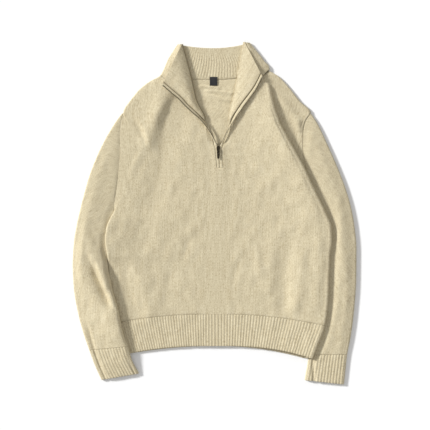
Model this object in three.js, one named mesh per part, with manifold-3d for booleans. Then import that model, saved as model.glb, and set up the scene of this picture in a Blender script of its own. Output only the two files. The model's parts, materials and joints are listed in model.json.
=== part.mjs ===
// Quarter zip sweater laid flat on its back, collar open.
// Millimetres. X runs to the right of the garment as it is seen, Y towards the collar, Z up.
// The surface it lies on is Z = 0.
import * as THREE from 'three';
import Module from 'manifold-3d';
import { mergeVertices } from 'three/addons/utils/BufferGeometryUtils.js';

// Driving dimensions
const CLOTH = 2.4; // thickness of the knitted wall
const SEAM = 0.36; // gap left between two pieces where they are sewn
const ARMHOLE_GAP = 1;
const UNDERARM_GAP = 0.9;
const NECK_GAP = 0.8;
const REST = CLOTH / 2; // height of the middle of a wall that lies on the surface
const BASE = 7; // height of the middle of the front where it lies quietly
const FOOT = 6; // height of the front right under a turned edge
const BAND = 8; // width of the knitted band along each side of the zip
const BAND_THICK = 1.8;
const BAND_CORNER = 4.2; // how much narrower the band is where it stands up from the front
const FLAT_RUN = 14; // stretch of front beside the closed zip
const RIB_PITCH = 7.2;
const RIB_RAISE = 0.8;
const CUFF_RIBS = 12;
const CUFF_FLOOR = [1, 0.82, 0.6, 0.3, 0]; // places across the lower layer of a cuff
const BACK_CELLS = 8;
const COLLAR_RIBS = 33;
const STEP = { sleeve: 44, cuff: 35 }; // about how far apart the sleeve's stations are
const LIFT = { from: 0.62, over: 0.2 }; // where across a sleeve its lower layer climbs onto the body
const TURN_BULGE = 1.6; // how far the hidden inner turn of a tuck swells
const TEETH = { width: 2, height: 1.5, gap: 0.85, fromEdge: 1.6, closedFromEdge: 1.3 };
const SLIDER = {
  x: 9, y: 153, length: 17, top: 8, bottom: 5.6, plate: 2, shoulder: 0.55, corner: 1.2, play: 0.3,
};
const PULL = {
  bar: 0.7, y: 149.5, length: 19, arm: 7, plate: 5.6, eye: 1.8, flare: 0.3, tip: 1.4, thick: 1.4, play: 0.35,
};
const BRIDGE = {
  width: 2.8, length: 11, window: 2.1, wall: 1.2, foot: 0.4, slope: 1.6, windowSlope: 0.8, shift: 1.2,
};
const LABEL = { x: -2.2, y: 316.5, width: 18, height: 21, thick: 0.7 };

// Levels of the cloth, counted up the front from the bottom of the hem
const LEVEL = {
  hem: 0, hemSeam: 76, zipEnd: 427, slider: 470, armhole: 526, shoulder: 530, neck: 610, top: 686,
};

// Opening of the front, from the bottom up: the free edge of the zip band (zip),
// how far it is turned over (open, 0 to 1), the fold line of the turned part (roll),
// its height there, and the swell of the front under it (arch).
const OPENING_COLUMNS = ['level', 'zipX', 'zipY', 'zipZ', 'open', 'rollX', 'rollY', 'rollZ', 'arch'];
const OPENING_LEFT = table(OPENING_COLUMNS, [
  [0, 3, -318, 7, 0, -12, -318, 10, 0],
  [76, 3, -242, 7, 0, -12, -242, 10, 0],
  [300, 6, -18, 7.2, 0, -10, -18, 10, 0],
  [427, 13, 109, 7.8, 0, -4, 109, 10, 0],
  [462, 9.6, 144, 8.3, 0, -4, 144, 10, 0],
  [470, 9, 152, 8.4, 0, -4, 152, 10, 0],
  [482, 6, 163, 8.6, 0.06, -3, 165, 10, 0],
  [494, -1, 176, 11.4, 0.34, -2, 179, 10, 0.2],
  [512, -11, 193, 13.4, 0.56, -6, 196, 10, 0.6],
  [530, -22, 208, 14.6, 0.74, -14, 212, 10, 1.4],
  [548, -36, 224, 16, 0.9, -20, 230, 10, 2.6],
  [572, -56, 242, 17.4, 1, -33, 252, 10.4, 4],
  [596, -74, 259, 18.6, 1, -43, 274, 10.6, 5.4],
  [610, -83, 269, 19.2, 1, -47, 292, 10.8, 6.2],
  [648, -105, 288, 20.4, 1, -61, 352, 11.2, 6.6],
  [686, -126, 306, 20.8, 1, -76, 405, 12.4, 2.4],
]);
const OPENING_RIGHT = table(OPENING_COLUMNS, [
  [0, 3, -318, 7, 0, 18, -318, 10, 0],
  [76, 3, -242, 7, 0, 18, -242, 10, 0],
  [300, 6, -18, 7.2, 0, 22, -18, 10, 0],
  [427, 13, 109, 7.8, 0, 30, 109, 10, 0],
  [462, 9.6, 144, 8.3, 0, 24, 144, 10, 0],
  [470, 9, 152, 8.4, 0, 22, 152, 10, 0],
  [482, 14, 163.5, 8.6, 0.06, 20, 165, 10, 0],
  [494, 21, 175, 11.4, 0.34, 20, 180, 10, 0.2],
  [512, 29.5, 192, 13.4, 0.56, 22, 197, 10, 0.6],
  [530, 41, 211, 14.4, 0.74, 27, 213, 10, 1.2],
  [548, 50, 226, 15.4, 0.9, 33, 232, 10, 2],
  [572, 62, 243, 16.6, 1, 39, 254, 10.4, 3],
  [596, 73, 259, 17.4, 1, 45, 276, 10.6, 4.4],
  [610, 80, 268, 18, 1, 49, 292, 10.8, 5.4],
  [648, 100, 296, 18.8, 1, 59, 350, 11.2, 6],
  [686, 115, 326, 19, 1, 70, 410, 12.4, 2.4],
]);

// Sides of the front, from the bottom up: its fold line, the height of the cloth there (top),
// how high the fold's underside is carried (under), how far it is tucked in, the height of the
// hidden layer (low), how far its turn leans inwards, whether the fold is made (curl, 0 to 1),
// the sewn edge, and how the row bends towards the side.
const SIDE_COLUMNS = [
  'level', 'foldX', 'foldY', 'top', 'under', 'tuck', 'low', 'lean', 'curl', 'seamX', 'seamY', 'seamZ', 'bend',
];
const SIDE_LEFT = table(SIDE_COLUMNS, [
  [0, -212, -337, 5, 1.2, 4, 1.2, 3, 1, -202, -336, 1.2, 2.2],
  [30, -222, -309, 5, 1.2, 4, 1.2, 3, 1, -212, -309, 1.2, 2.2],
  [76, -236, -262, 5, 1.2, 4, 1.2, 3, 1, -226, -262, 1.2, 2],
  [110, -244, -222, 5.2, 1.2, 4, 1.2, 3, 1, -234, -222, 1.2, 1.8],
  [155, -252, -166, 5.2, 1.2, 4, 1.2, 3, 1, -242, -166, 1.2, 1.5],
  [185, -254, -134, 5.2, 1.2, 4, 1.2, 3, 1, -243, -134, 1.2, 1.2],
  [200, -254, -118, 7.6, 3.2, 5, 1.2, 4, 1, -241, -118, 1.2, 1],
  [218, -256, -100, 13, 8.4, 9, 1.2, 7, 1, -237, -100, 1.2, 1],
  [254, -261, -64, 14.6, 9.6, 12, 1.2, 8, 1, -237, -64, 1.2, 1],
  [286, -257, -32, 14.4, 9.6, 12, 1.2, 8, 1, -233, -32, 1.2, 1],
  [305, -249, -13, 13.4, 9.4, 10, 1.2, 8, 1, -227, -13, 1.2, 1],
  [318, -241, 0, 10.4, 7, 7, 2.4, 5, 0.5, -231, 0, 3.7, 1],
  [333, -232, 15, 8, 5, 4, 4, 3, 0, -241, 15, 6.2, 1],
  [360, -222, 45, 7.4, 4, 4, 4, 3, 0, -237, 45, 6.4, 1],
  [427, -212, 105, 7.2, 4, 4, 4, 3, 0, -230, 103, 6.4, 1],
  [470, -206, 146, 7.2, 4, 4, 4, 3, 0, -227, 143, 6.4, 1],
  [494, -205, 178, 7.2, 4, 4, 4, 3, 0, -228, 176, 6.2, 1],
  [512, -206, 210, 7, 3.4, 4, 3, 3, 0, -225, 211, 5.8, 1],
  [526, -210, 236, 6.4, 2.4, 4, 2.2, 3, 0.3, -220, 238.5, 4.8, 1],
  [530, -219.5, 243, 5.6, 1.2, 4, 1.2, 3, 1, -209.5, 241.5, 1.2, 1],
  [548, -200, 271, 5.6, 1.2, 4, 1.2, 3, 1, -191, 267, 1.2, 1],
  [572, -178, 297, 5.8, 1.2, 4, 1.2, 3, 1, -171, 291, 1.2, 1],
  [596, -153, 316, 6, 1.2, 4, 1.2, 3, 1, -148, 309, 1.2, 1],
  [610, -130, 329, 6.4, 1.2, 4, 1.2, 3, 1, -121, 327, 1.2, 1.6],
  [648, -109, 371, 7, 1.2, 4, 1.2, 3, 1, -99, 370, 1.2, 1.2],
  [686, -88, 404, 7, 1.2, 4, 1.2, 3, 1, -78, 403, 1.2, 1],
]);
const SIDE_RIGHT = table(SIDE_COLUMNS, [
  [0, 234, -347, 15.6, 9.6, 12, 1.2, 5, 1, 214, -347, 1.2, 2.4],
  [30, 246, -314, 16.2, 9.6, 24, 1.2, 5, 1, 214, -314, 1.2, 2.2],
  [76, 263, -268, 16.8, 9.6, 35, 1.2, 5, 1, 220, -268, 1.2, 2],
  [110, 270, -220, 17, 9.6, 40, 1.2, 5, 1, 222, -220, 1.2, 1.8],
  [155, 273, -163, 17.2, 9.6, 42, 1.2, 5, 1, 223, -163, 1.2, 1.4],
  [218, 275, -101, 17.2, 9.6, 44, 1.2, 5, 1, 223, -101, 1.2, 1],
  [254, 280, -62, 17.4, 9.6, 50, 1.2, 5, 1, 222, -62, 1.2, 1],
  [286, 278, -30, 17.4, 9.6, 50, 1.2, 5, 1, 220, -30, 1.2, 1],
  [311, 268, -5, 17.4, 9.6, 44, 1.2, 5, 1, 217, -5, 1.2, 1],
  [333, 258, 18, 17.4, 9.6, 31, 3.7, 2, 1, 222.5, 18, 3.7, 1],
  [350, 250, 33, 17.4, 9.6, 38, 5, 0, 1, 228, 33, 5, 1],
  [390, 231, 72, 17.6, 9.6, 34, 5, 0, 1, 222, 72, 5, 1],
  [427, 215, 107, 17.6, 9.6, 30, 5, 0, 1, 218, 109, 5, 1],
  [470, 192, 149, 17.4, 9.6, 26, 5, 0, 1, 213, 158, 5.2, 1],
  [494, 175, 180, 17.2, 9.6, 24, 5, 0, 1, 212, 192, 5.6, 1],
  [512, 163, 202, 16.8, 9.4, 22, 5, 0, 1, 211, 217, 6, 1],
  [526, 155, 218, 16.4, 9.2, 20, 5, 0, 1, 229.5, 238, 5.6, 1],
  [530, 153, 224, 16.2, 9.2, 19, 5, 0, 1, 231, 242, 4.2, 1],
  [548, 144, 250, 14.6, 8.4, 14, 5, 0, 0.9, 206, 267, 4.2, 1],
  [572, 138, 278, 11.6, 7, 8, 5, 0, 0.5, 181, 298, 4.2, 1],
  [596, 132, 310, 7.6, 5.4, 5, 5, 0, 0.1, 155, 326, 4.2, 1],
  [609.9, 112, 323.4, 7.4, 5.4, 4, 5, 0, 0, 131, 341, 4.2, 1.6],
  [610, 131, 342, 6.4, 1.2, 4, 1.2, 3, 1, 122, 341.5, 1.2, 1.6],
  [648, 117, 366, 7, 1.2, 4, 1.2, 3, 1, 107, 366, 1.2, 1.2],
  [686, 84, 408, 7, 1.2, 4, 1.2, 3, 1, 74, 406, 1.2, 1],
]);

// Height up the back of each level, at the middle of the garment
const BACK_MIDDLE = table(['level', 'y'], [
  [0, -318], [76, -242], [427, 109], [470, 150], [512, 205], [548, 250], [572, 276], [596, 303], [610, 320],
  [686, 396],
]);

// Sleeves, from the armhole down: outer and inner edge, the height of the cloth at each,
// the height of the lower layer at the inner edge, the swell between them (puff),
// how closely the section follows the armhole (follow, 0 to 1), and where across it the
// swell ends because the body lies over it (cover).
const SLEEVE_COLUMNS = [
  'station', 'outX', 'outY', 'inX', 'inY', 'outTop', 'inTop', 'inFloor', 'puff', 'follow', 'cover',
];
const SLEEVE_LEFT = table(SLEEVE_COLUMNS, [
  [0, -218.5, 245, -242, 14, 5.6, 6.2, 1.2, 0.3, 1, 1],
  [1, -246, 206, -244, -1, 6.2, 6, 1.2, 2.5, 0.42, 0.94],
  [2, -269, 164, -246, -20, 6.6, 6, 1.2, 4, 0.12, 0.9],
  [3, -286, 124, -250, -45, 6.8, 6, 1.2, 4.6, 0, 0.88],
  [4, -300, 86, -251.5, -70, 7, 6, 1.2, 5, 0, 0.86],
  [5, -312, 44, -253.5, -92, 7, 6, 1.2, 5, 0, 0.86],
  [6, -321, 8, -258.4, -111, 7, 7, 1.4, 5, 0, 0.95],
  [7, -330, -32, -255.4, -138, 7, 13.4, 9, 3.6, 0, 1.05],
  [8, -336, -72, -249, -161, 7, 13.8, 9, 3, 0, 1.05],
  [9, -339, -122, -244, -186, 7, 13.8, 9, 3, 0, 1.05],
  [10, -336, -180, -233, -222, 7, 13.8, 9, 2.6, 0, 1.05],
  [11, -327, -234, -226, -255, 7, 13.8, 9, 2.4, 0, 1.05],
  [12, -314, -284, -219, -287, 7, 13.6, 9, 2.2, 0, 1.05],
  [13, -299, -328, -208, -318, 6.4, 13.4, 9, 1.6, 0, 1.05],
  [14, -287, -361, -199, -350, 6.2, 12.6, 8.2, 1.2, 0, 1.05],
  [15, -270, -399, -182, -384, 6, 6, 1.2, 1.4, 0, 1.05],
]);
const SLEEVE_RIGHT = table(SLEEVE_COLUMNS, [
  [0, 231.5, 243, 229, 30, 5.6, 5, 1.2, 0.3, 1, 0.8],
  [1, 255, 202, 231.5, 8, 6.2, 5.6, 1.2, 2.6, 0.42, 0.72],
  [2, 274, 157, 234.5, -18, 6.6, 6, 1.2, 4, 0.12, 0.64],
  [3, 294, 109, 237, -50, 6.8, 6.2, 1.2, 4.4, 0, 0.57],
  [4, 311, 65, 239, -80, 7, 6.2, 1.2, 4.8, 0, 0.52],
  [5, 325, 18, 240, -112, 7, 6.2, 1.2, 5, 0, 0.5],
  [6, 334, -30, 240, -145, 7, 6.2, 1.2, 5, 0, 0.57],
  [7, 339, -86, 239.5, -180, 7, 6.2, 1.2, 5, 0, 0.62],
  [8, 338.5, -155, 239, -215, 7, 6.2, 1.2, 4.6, 0, 0.64],
  [9, 334, -224, 238, -252, 7, 6.2, 1.2, 4.2, 0, 0.66],
  [10, 326, -290, 236, -294, 6.8, 6.2, 1.2, 3.2, 0, 0.74],
  [11, 317, -338, 228, -339, 6.4, 5.8, 1.2, 2, 0, 0.84],
  [12, 313, -372, 222.5, -369, 6.2, 6.4, 1.2, 1.4, 0, 1.05],
  [13, 309, -410, 217, -399.5, 6, 7, 1.2, 1.4, 0, 1.05],
]);
const CUFF_LEFT = 13;
const CUFF_RIGHT = 11;

// Largest creases of the top layer: a line from one point to the next, its width, and
// its height above the cloth beside it (below it, where negative)
const CREASE_COLUMNS = ['x0', 'y0', 'x1', 'y1', 'width', 'rise'];
const FRONT_CREASES = table(CREASE_COLUMNS, [
  [-102, 268, -122, 188, 17, -2.2],
  [-122, 188, -142, 140, 17, -2],
  [-78, 236, -96, 170, 22, 2.4],
  [-187, 214, -167, 165, 9, 1.8],
  [-146, 202, -167, 165, 9, 1.6],
  [-167, 162, -208, 90, 11, 1.6],
  [-178, -70, -200, -180, 22, 2.4],
  [205, -95, 190, -225, 16, 2],
  [176, -130, 172, -238, 13, -1.6],
  [100, 190, 150, 60, 40, 2.4],
]);
const SLEEVE_CREASES = table(CREASE_COLUMNS, [
  [-294, -128, -250, -196, 9, -4.2],
  [-310, -96, -272, -168, 13, 2.2],
  [-303, -268, -259, -399, 5, -3.4],
  [236, -346, 239, -410, 4, -2.6],
  [300, 40, 312, -150, 11, 1.8],
]);

// Cells across each stretch of the front's section
const FRONT_CELLS = { lapel: 2, roll: 3, front: 9, fold: 3, under: 1, turn: 2, last: 1 };
const ARC_CELLS = 3; // cells round the edge of a sleeve
const PANEL_LEVELS = [
  LEVEL.hemSeam, 110, 155, 185, 200, 218, 236, 254, 286, 305, 318, 333, 350, 390, 427, 452,
  LEVEL.slider, 482, 494, 512, LEVEL.armhole, LEVEL.shoulder, 548, 560, 572, 584, 596, LEVEL.neck,
];
const COLLAR_LEVELS = [LEVEL.neck, 622, 648, 668, LEVEL.top];

const wasm = await Module();
wasm.setup();

// Tables and curves
function table(columns, rows) {
  return rows.map((row) => Object.fromEntries(columns.map((name, i) => [name, row[i]])));
}

function clamp01(t) {
  return Math.min(1, Math.max(0, t));
}

function smooth(t) {
  const k = clamp01(t);
  return k * k * (3 - 2 * k);
}

function mix(a, b, t) {
  return a + (b - a) * t;
}

// Value of every column at a level, on a smooth curve through the rows
function sample(rows, key, at) {
  const x = Math.min(rows[rows.length - 1][key], Math.max(rows[0][key], at));
  let i = 0;
  while (i < rows.length - 2 && rows[i + 1][key] < x) i += 1;
  const before = rows[Math.max(0, i - 1)];
  const from = rows[i];
  const to = rows[i + 1];
  const after = rows[Math.min(rows.length - 1, i + 2)];
  const h = to[key] - from[key];
  const t = (x - from[key]) / h;
  const result = {};
  for (const name of Object.keys(from)) {
    const slopeFrom = slopeAt(before, from, to, key, name);
    const slopeTo = slopeAt(from, to, after, key, name);
    const t2 = t * t;
    const t3 = t2 * t;
    result[name] = (2 * t3 - 3 * t2 + 1) * from[name] + (t3 - 2 * t2 + t) * h * slopeFrom
      + (3 * t2 - 2 * t3) * to[name] + (t3 - t2) * h * slopeTo;
  }
  return result;
}

// Slope of a column at a row, level where the column turns back, so that it never overshoots
function slopeAt(before, here, after, key, name) {
  const left = here[key] > before[key] ? (here[name] - before[name]) / (here[key] - before[key]) : null;
  const right = after[key] > here[key] ? (after[name] - here[name]) / (after[key] - here[key]) : null;
  if (left === null) return right;
  if (right === null) return left;
  if (left * right <= 0) return 0;
  return (2 * left * right) / (left + right);
}

// Rise of a crease line at a place: a soft ridge or trough that fades out at both ends
function creases(list, x, y) {
  let rise = 0;
  for (const c of list) {
    const dx = c.x1 - c.x0;
    const dy = c.y1 - c.y0;
    const along = ((x - c.x0) * dx + (y - c.y0) * dy) / (dx * dx + dy * dy);
    const across = Math.abs((x - c.x0) * dy - (y - c.y0) * dx) / Math.hypot(dx, dy);
    const fade = smooth((along + 0.15) / 0.3) * smooth((1.15 - along) / 0.3);
    rise += c.rise * fade * Math.exp(-((across / c.width) ** 2));
  }
  return rise;
}

function point(x, y, z, outer = 0, inner = 0) {
  return { x, y, z, outer, inner };
}

function between(a, b, t) {
  return point(mix(a.x, b.x, t), mix(a.y, b.y, t), mix(a.z, b.z, t));
}

// A wall of even thickness about one or more grids of points that share their common edges.
// grid[row][column] is the middle of the cloth. outer and inner raise its two faces there.
function wall(patches, thickness = CLOTH) {
  const points = [];
  const places = new Map();
  const faces = [];
  const idOf = (p) => {
    const place = [p.x, p.y, p.z].map((v) => v.toFixed(3)).join();
    if (!places.has(place)) {
      places.set(place, points.length);
      points.push(p);
    }
    return places.get(place);
  };
  for (const { grid, flip = false, closed = false } of patches) {
    const ids = grid.map((row) => row.map(idOf));
    const columns = ids[0].length;
    for (let r = 0; r + 1 < ids.length; r += 1) {
      for (let c = 0; c + (closed ? 0 : 1) < columns; c += 1) {
        const next = (c + 1) % columns;
        const corners = [ids[r][c], ids[r][next], ids[r + 1][next], ids[r + 1][c]];
        if (flip) corners.reverse();
        faces.push([corners[0], corners[1], corners[2]], [corners[0], corners[2], corners[3]]);
      }
    }
  }
  return thicken(points, faces, thickness);
}

function thicken(points, faces, thickness) {
  const middle = points.map((p) => new THREE.Vector3(p.x, p.y, p.z));
  const normals = points.map(() => new THREE.Vector3());
  const edges = new Set();
  for (const [a, b, c] of faces) {
    const ab = new THREE.Vector3().subVectors(middle[b], middle[a]);
    const ac = new THREE.Vector3().subVectors(middle[c], middle[a]);
    const normal = ab.cross(ac);
    [a, b, c].forEach((i) => normals[i].add(normal));
    edges.add(`${a},${b}`).add(`${b},${c}`).add(`${c},${a}`);
  }
  const count = points.length;
  const position = new Float32Array(count * 6);
  points.forEach((p, i) => {
    const normal = normals[i].normalize();
    const outer = middle[i].clone().addScaledVector(normal, thickness / 2 + p.outer);
    const inner = middle[i].clone().addScaledVector(normal, -thickness / 2 - p.inner);
    outer.toArray(position, i * 3);
    inner.toArray(position, (count + i) * 3);
  });
  const index = [];
  for (const [a, b, c] of faces) index.push(a, b, c, count + c, count + b, count + a);
  for (const edge of edges) {
    const [a, b] = edge.split(',').map(Number);
    if (!edges.has(`${b},${a}`)) index.push(b, a, count + a, b, count + a, count + b);
  }
  const geometry = new THREE.BufferGeometry();
  geometry.setAttribute('position', new THREE.BufferAttribute(position, 3));
  geometry.setIndex(index);
  geometry.computeVertexNormals();
  return geometry;
}

// Front, hem and collar fronts: the free edge of the zip band and the edge it is sewn to
function zipEdges(side, level) {
  const o = sample(side.opening, 'level', level);
  const open = clamp01(o.open);
  const free = point(o.zipX, o.zipY, o.zipZ);
  const reach = Math.hypot(o.rollX - o.zipX, o.rollY - o.zipY);
  const turn = Math.PI * open;
  const across = BAND * Math.abs(Math.cos(turn));
  const down = BAND * Math.sin(turn);
  if (open < 0.5) return { o, open, free, sewn: point(o.zipX + side.sign * across, o.zipY, o.zipZ - down) };
  const slope = (o.zipZ - o.rollZ) / reach;
  const sewn = point(
    o.zipX + ((o.rollX - o.zipX) / reach) * across,
    o.zipY + ((o.rollY - o.zipY) / reach) * across,
    o.zipZ - down - slope * across,
  );
  return { o, open, free, sewn };
}

// One row of the front, from the zip edge out and round the side to the sewn edge
function frontRow(side, level, cells = FRONT_CELLS, ribs = false) {
  const { sign } = side;
  const { o, open, sewn } = zipEdges(side, level);
  const s = sample(side.edge, 'level', level);
  const turned = smooth(open * 2 - 1);
  const row = [];

  const rollRadius = (o.rollZ - FOOT) / 2;
  const flatEnd = point(sewn.x + sign * FLAT_RUN, sewn.y, BASE);
  const rollTop = point(o.rollX + sign * rollRadius, o.rollY, o.rollZ);
  const flatCells = cells.lapel + cells.roll;
  for (let i = 0; i <= flatCells; i += 1) {
    const flat = between(sewn, flatEnd, i / flatCells);
    flat.z = mix(sewn.z, BASE, smooth(i / flatCells));
    const angle = Math.PI * Math.max(0, (i - cells.lapel) / cells.roll);
    const folded = i <= cells.lapel
      ? between(sewn, rollTop, i / cells.lapel)
      : point(
        o.rollX + sign * rollRadius * (1 - Math.sin(angle)),
        o.rollY,
        FOOT + rollRadius * (1 + Math.cos(angle)),
      );
    const { x, y, z } = between(flat, folded, turned);
    row.push(point(x, y, z, ribs && i % 2 === 1 ? RIB_RAISE : 0));
  }

  const start = row[row.length - 1];
  const foldRadius = (s.top - s.under) / 2;
  const foldTop = point(s.foldX - sign * foldRadius, s.foldY, s.top);
  for (let i = 1; i <= cells.front; i += 1) {
    const k = i / cells.front;
    const x = mix(start.x, foldTop.x, k);
    const y = mix(start.y, foldTop.y, k ** s.bend);
    const window = smooth(k / 0.12) * smooth((1 - k) / 0.12);
    const z = BASE + (start.z - BASE) * (1 - k) ** 4 + (s.top - BASE) * k ** 3
      + o.arch * Math.sin(Math.PI * k) + window * creases(FRONT_CREASES, x, y);
    const rib = ribs && i % 2 === 1 ? RIB_RAISE : 0;
    row.push(point(x, y, z, rib));
  }

  const sewnEdge = point(s.seamX, s.seamY, s.seamZ);
  const tucked = point(s.foldX - sign * s.tuck, s.foldY, s.under);
  const turnedIn = point(s.foldX - sign * (s.tuck + s.lean), s.foldY, s.low);
  const tail = [];
  for (let i = 1; i <= cells.fold; i += 1) {
    const angle = Math.PI * (i / cells.fold);
    tail.push(point(
      foldTop.x + sign * foldRadius * Math.sin(angle),
      s.foldY,
      s.under + foldRadius * (1 + Math.cos(angle)),
    ));
  }
  const foldEnd = tail[tail.length - 1];
  for (let i = 1; i <= cells.under; i += 1) tail.push(between(foldEnd, tucked, i / cells.under));
  const bulge = TURN_BULGE * clamp01(1 - s.lean / 2);
  for (let i = 1; i <= cells.turn; i += 1) {
    const k = i / cells.turn;
    const p = between(tucked, turnedIn, k);
    p.x -= sign * bulge * Math.sin(Math.PI * k);
    tail.push(p);
  }
  for (let i = 1; i <= cells.last; i += 1) tail.push(between(turnedIn, sewnEdge, i / cells.last));
  const curl = clamp01(s.curl);
  tail.forEach((folded, i) => {
    const flat = between(foldTop, sewnEdge, (i + 1) / tail.length);
    row.push(between(flat, folded, curl));
  });
  return row;
}

const LEFT = { sign: -1, opening: OPENING_LEFT, edge: SIDE_LEFT, underarm: 333 };
const RIGHT = { sign: 1, opening: OPENING_RIGHT, edge: SIDE_RIGHT, underarm: 350 };

// Levels of one piece, its first and last drawn in by half the seam's gap
function drawnIn(levels, first = true, last = true) {
  const list = [...levels];
  if (first) list[0] += SEAM / 2;
  if (last) list[list.length - 1] -= SEAM / 2;
  return list;
}

// Both halves of the front. Up to the end of the zip they meet along the middle,
// and the width of the band belongs to the panel.
function frontPanelPatches(levels, cells, ribs) {
  const patches = [];
  for (const side of [LEFT, RIGHT]) {
    const flip = side === LEFT;
    const grid = levels.map((level) => frontRow(side, level, cells, ribs));
    const strip = levels
      .filter((level) => level <= LEVEL.zipEnd)
      .map((level, i) => {
        const { free } = zipEdges(side, level);
        const { x, y, z } = between(free, grid[i][0], 0.5);
        return ribs ? [free, point(x, y, z, RIB_RAISE), grid[i][0]] : [free, grid[i][0]];
      });
    patches.push({ grid, flip }, { grid: strip, flip });
  }
  return patches;
}

function frontPanel() {
  const levels = drawnIn(PANEL_LEVELS);
  levels[levels.length - 1] -= (NECK_GAP - SEAM) / 2;
  return wall(frontPanelPatches(levels, FRONT_CELLS, false));
}

function hemFront() {
  const reach = 236;
  const cells = { ...FRONT_CELLS, lapel: 3, roll: 1, front: 2 * Math.round(reach / RIB_PITCH) };
  return wall(frontPanelPatches(drawnIn([LEVEL.hem, 30, LEVEL.hemSeam], false, true), cells, true));
}

// One row of the back, from its left sewn edge to its right one, on the surface
function backRow(level, count, inset = SEAM, ribs = 0) {
  const left = sample(SIDE_LEFT, 'level', level);
  const right = sample(SIDE_RIGHT, 'level', level);
  const middle = sample(BACK_MIDDLE, 'level', level).y;
  const row = [];
  for (let i = 0; i <= count; i += 1) {
    const k = i / count;
    const side = k < 0.5 ? left : right;
    const out = Math.abs(2 * k - 1);
    const x = mix(left.seamX + inset, right.seamX - inset, k);
    const y = mix(middle, side.seamY, out ** 2);
    const rib = i % 2 === 1 ? ribs : 0;
    row.push(point(x, y, REST, 0, rib));
  }
  return row;
}

function backPanel() {
  const levels = drawnIn(PANEL_LEVELS);
  return wall([{ grid: levels.map((level) => backRow(level, BACK_CELLS)), flip: true }]);
}

function hemBack() {
  const levels = drawnIn([LEVEL.hem, 30, LEVEL.hemSeam], false, true);
  return wall([{ grid: levels.map((level) => backRow(level, BACK_CELLS)), flip: true }]);
}

// The collar is one strip: turned front, roll, front, side, ribbed back, and the same again
function collar() {
  const levels = [...COLLAR_LEVELS];
  levels[0] += NECK_GAP / 2;
  const patches = [LEFT, RIGHT].map((side) => ({
    grid: levels.map((level) => frontRow(side, level)),
    flip: side === LEFT,
  }));
  const back = levels.map((level, r) => {
    const raise = r === 0 ? 0 : RIB_RAISE;
    const row = backRow(level, 2 * COLLAR_RIBS, 0, raise);
    row[0] = patches[0].grid[r].at(-1);
    row[row.length - 1] = patches[1].grid[r].at(-1);
    return row;
  });
  patches.push({ grid: back, flip: true });
  return wall(patches);
}

// Levels of the body's rows along the armhole, as shares of it from shoulder to underarm
function armholeShares(side) {
  return PANEL_LEVELS
    .filter((level) => level >= side.underarm && level <= LEVEL.armhole)
    .map((level) => (LEVEL.armhole - level) / (LEVEL.armhole - side.underarm));
}

// Point of the armhole, from the shoulder (0) to the underarm (1), just clear of the body
function armhole(side, k) {
  const s = sample(side.edge, 'level', mix(LEVEL.armhole, side.underarm, k));
  const gap = ARMHOLE_GAP + UNDERARM_GAP * k ** 6;
  return { x: s.seamX + side.sign * gap, y: s.seamY };
}

// One section of a sleeve, all round: along the surface, up the inner edge, back over the top.
// shares are the places of its points across the top and the floor, from inner to outer edge.
function sleeveRing(side, rows, station, shares, ribs = false) {
  const r = sample(rows, 'station', station);
  const width = Math.hypot(r.inX - r.outX, r.inY - r.outY);
  const inRadius = (r.inTop - r.inFloor) / 2;
  const outRadius = (r.outTop - REST) / 2;
  const kOut = outRadius / width;
  const kIn = 1 - inRadius / width;
  const follow = clamp01(r.follow);
  const place = (k) => {
    const straight = { x: mix(r.outX, r.inX, k), y: mix(r.outY, r.inY, k) };
    if (follow === 0) return straight;
    const hole = armhole(side, clamp01(k));
    return { x: mix(straight.x, hole.x, follow), y: mix(straight.y, hole.y, follow) };
  };
  const ring = [];
  const add = (k, z, outer = 0) => {
    const p = place(k);
    ring.push(point(p.x, p.y, z, outer));
  };
  const floorShares = ribs ? CUFF_FLOOR : shares;
  for (const share of [...floorShares].reverse()) {
    const k = Math.min(kIn, Math.max(kOut, share));
    add(k, mix(REST, r.inFloor, smooth((k - LIFT.from) / LIFT.over)));
  }
  for (let i = 1; i < ARC_CELLS; i += 1) {
    const angle = Math.PI * (i / ARC_CELLS);
    add(kIn + (inRadius / width) * Math.sin(angle), r.inFloor + inRadius * (1 - Math.cos(angle)));
  }
  shares.forEach((share, i) => {
    const k = Math.min(kIn, Math.max(kOut, share));
    const p = place(k);
    const window = smooth((1 - k) / 0.1) * smooth(k / 0.1) * (1 - follow);
    const swell = r.puff * smooth(k / 0.25) * smooth((r.cover - k) / 0.25);
    const z = mix(r.outTop, r.inTop, smooth(k)) + swell + window * creases(SLEEVE_CREASES, p.x, p.y);
    add(k, z, ribs && i % 2 === 1 ? RIB_RAISE : 0);
  });
  for (let i = 1; i < ARC_CELLS; i += 1) {
    const angle = Math.PI * (i / ARC_CELLS);
    add(kOut - kOut * Math.sin(angle), REST + outRadius * (1 + Math.cos(angle)));
  }
  return ring;
}

function sleeve(side, rows, cuffStation) {
  const stations = Array.from({ length: cuffStation + 1 }, (_, i) => i);
  stations[cuffStation] -= SEAM / 2 / STEP.sleeve;
  const grid = stations.map((station) => sleeveRing(side, rows, station, armholeShares(side)));
  return wall([{ grid, closed: true, flip: side === RIGHT }]);
}

function cuff(side, rows, cuffStation) {
  const last = rows.length - 1;
  const stations = [cuffStation + SEAM / 2 / STEP.cuff, mix(cuffStation, last, 0.5), last];
  const cells = 2 * CUFF_RIBS;
  const shares = Array.from({ length: cells + 1 }, (_, i) => 1 - i / cells);
  const grid = stations.map((station) => sleeveRing(side, rows, station, shares, true));
  return wall([{ grid, closed: true, flip: side === RIGHT }]);
}

const ZIP_LEVELS = [
  LEVEL.zipEnd + 2 * SEAM, 448,
  ...PANEL_LEVELS.filter((level) => level >= LEVEL.slider),
  629, 648, 667, LEVEL.top,
];

// A share of the band's width, from its sewn edge (0) to its free edge (1)
function bandPoint(side, level, k) {
  const { free, sewn } = zipEdges(side, level);
  return between(sewn, free, k);
}

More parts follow.
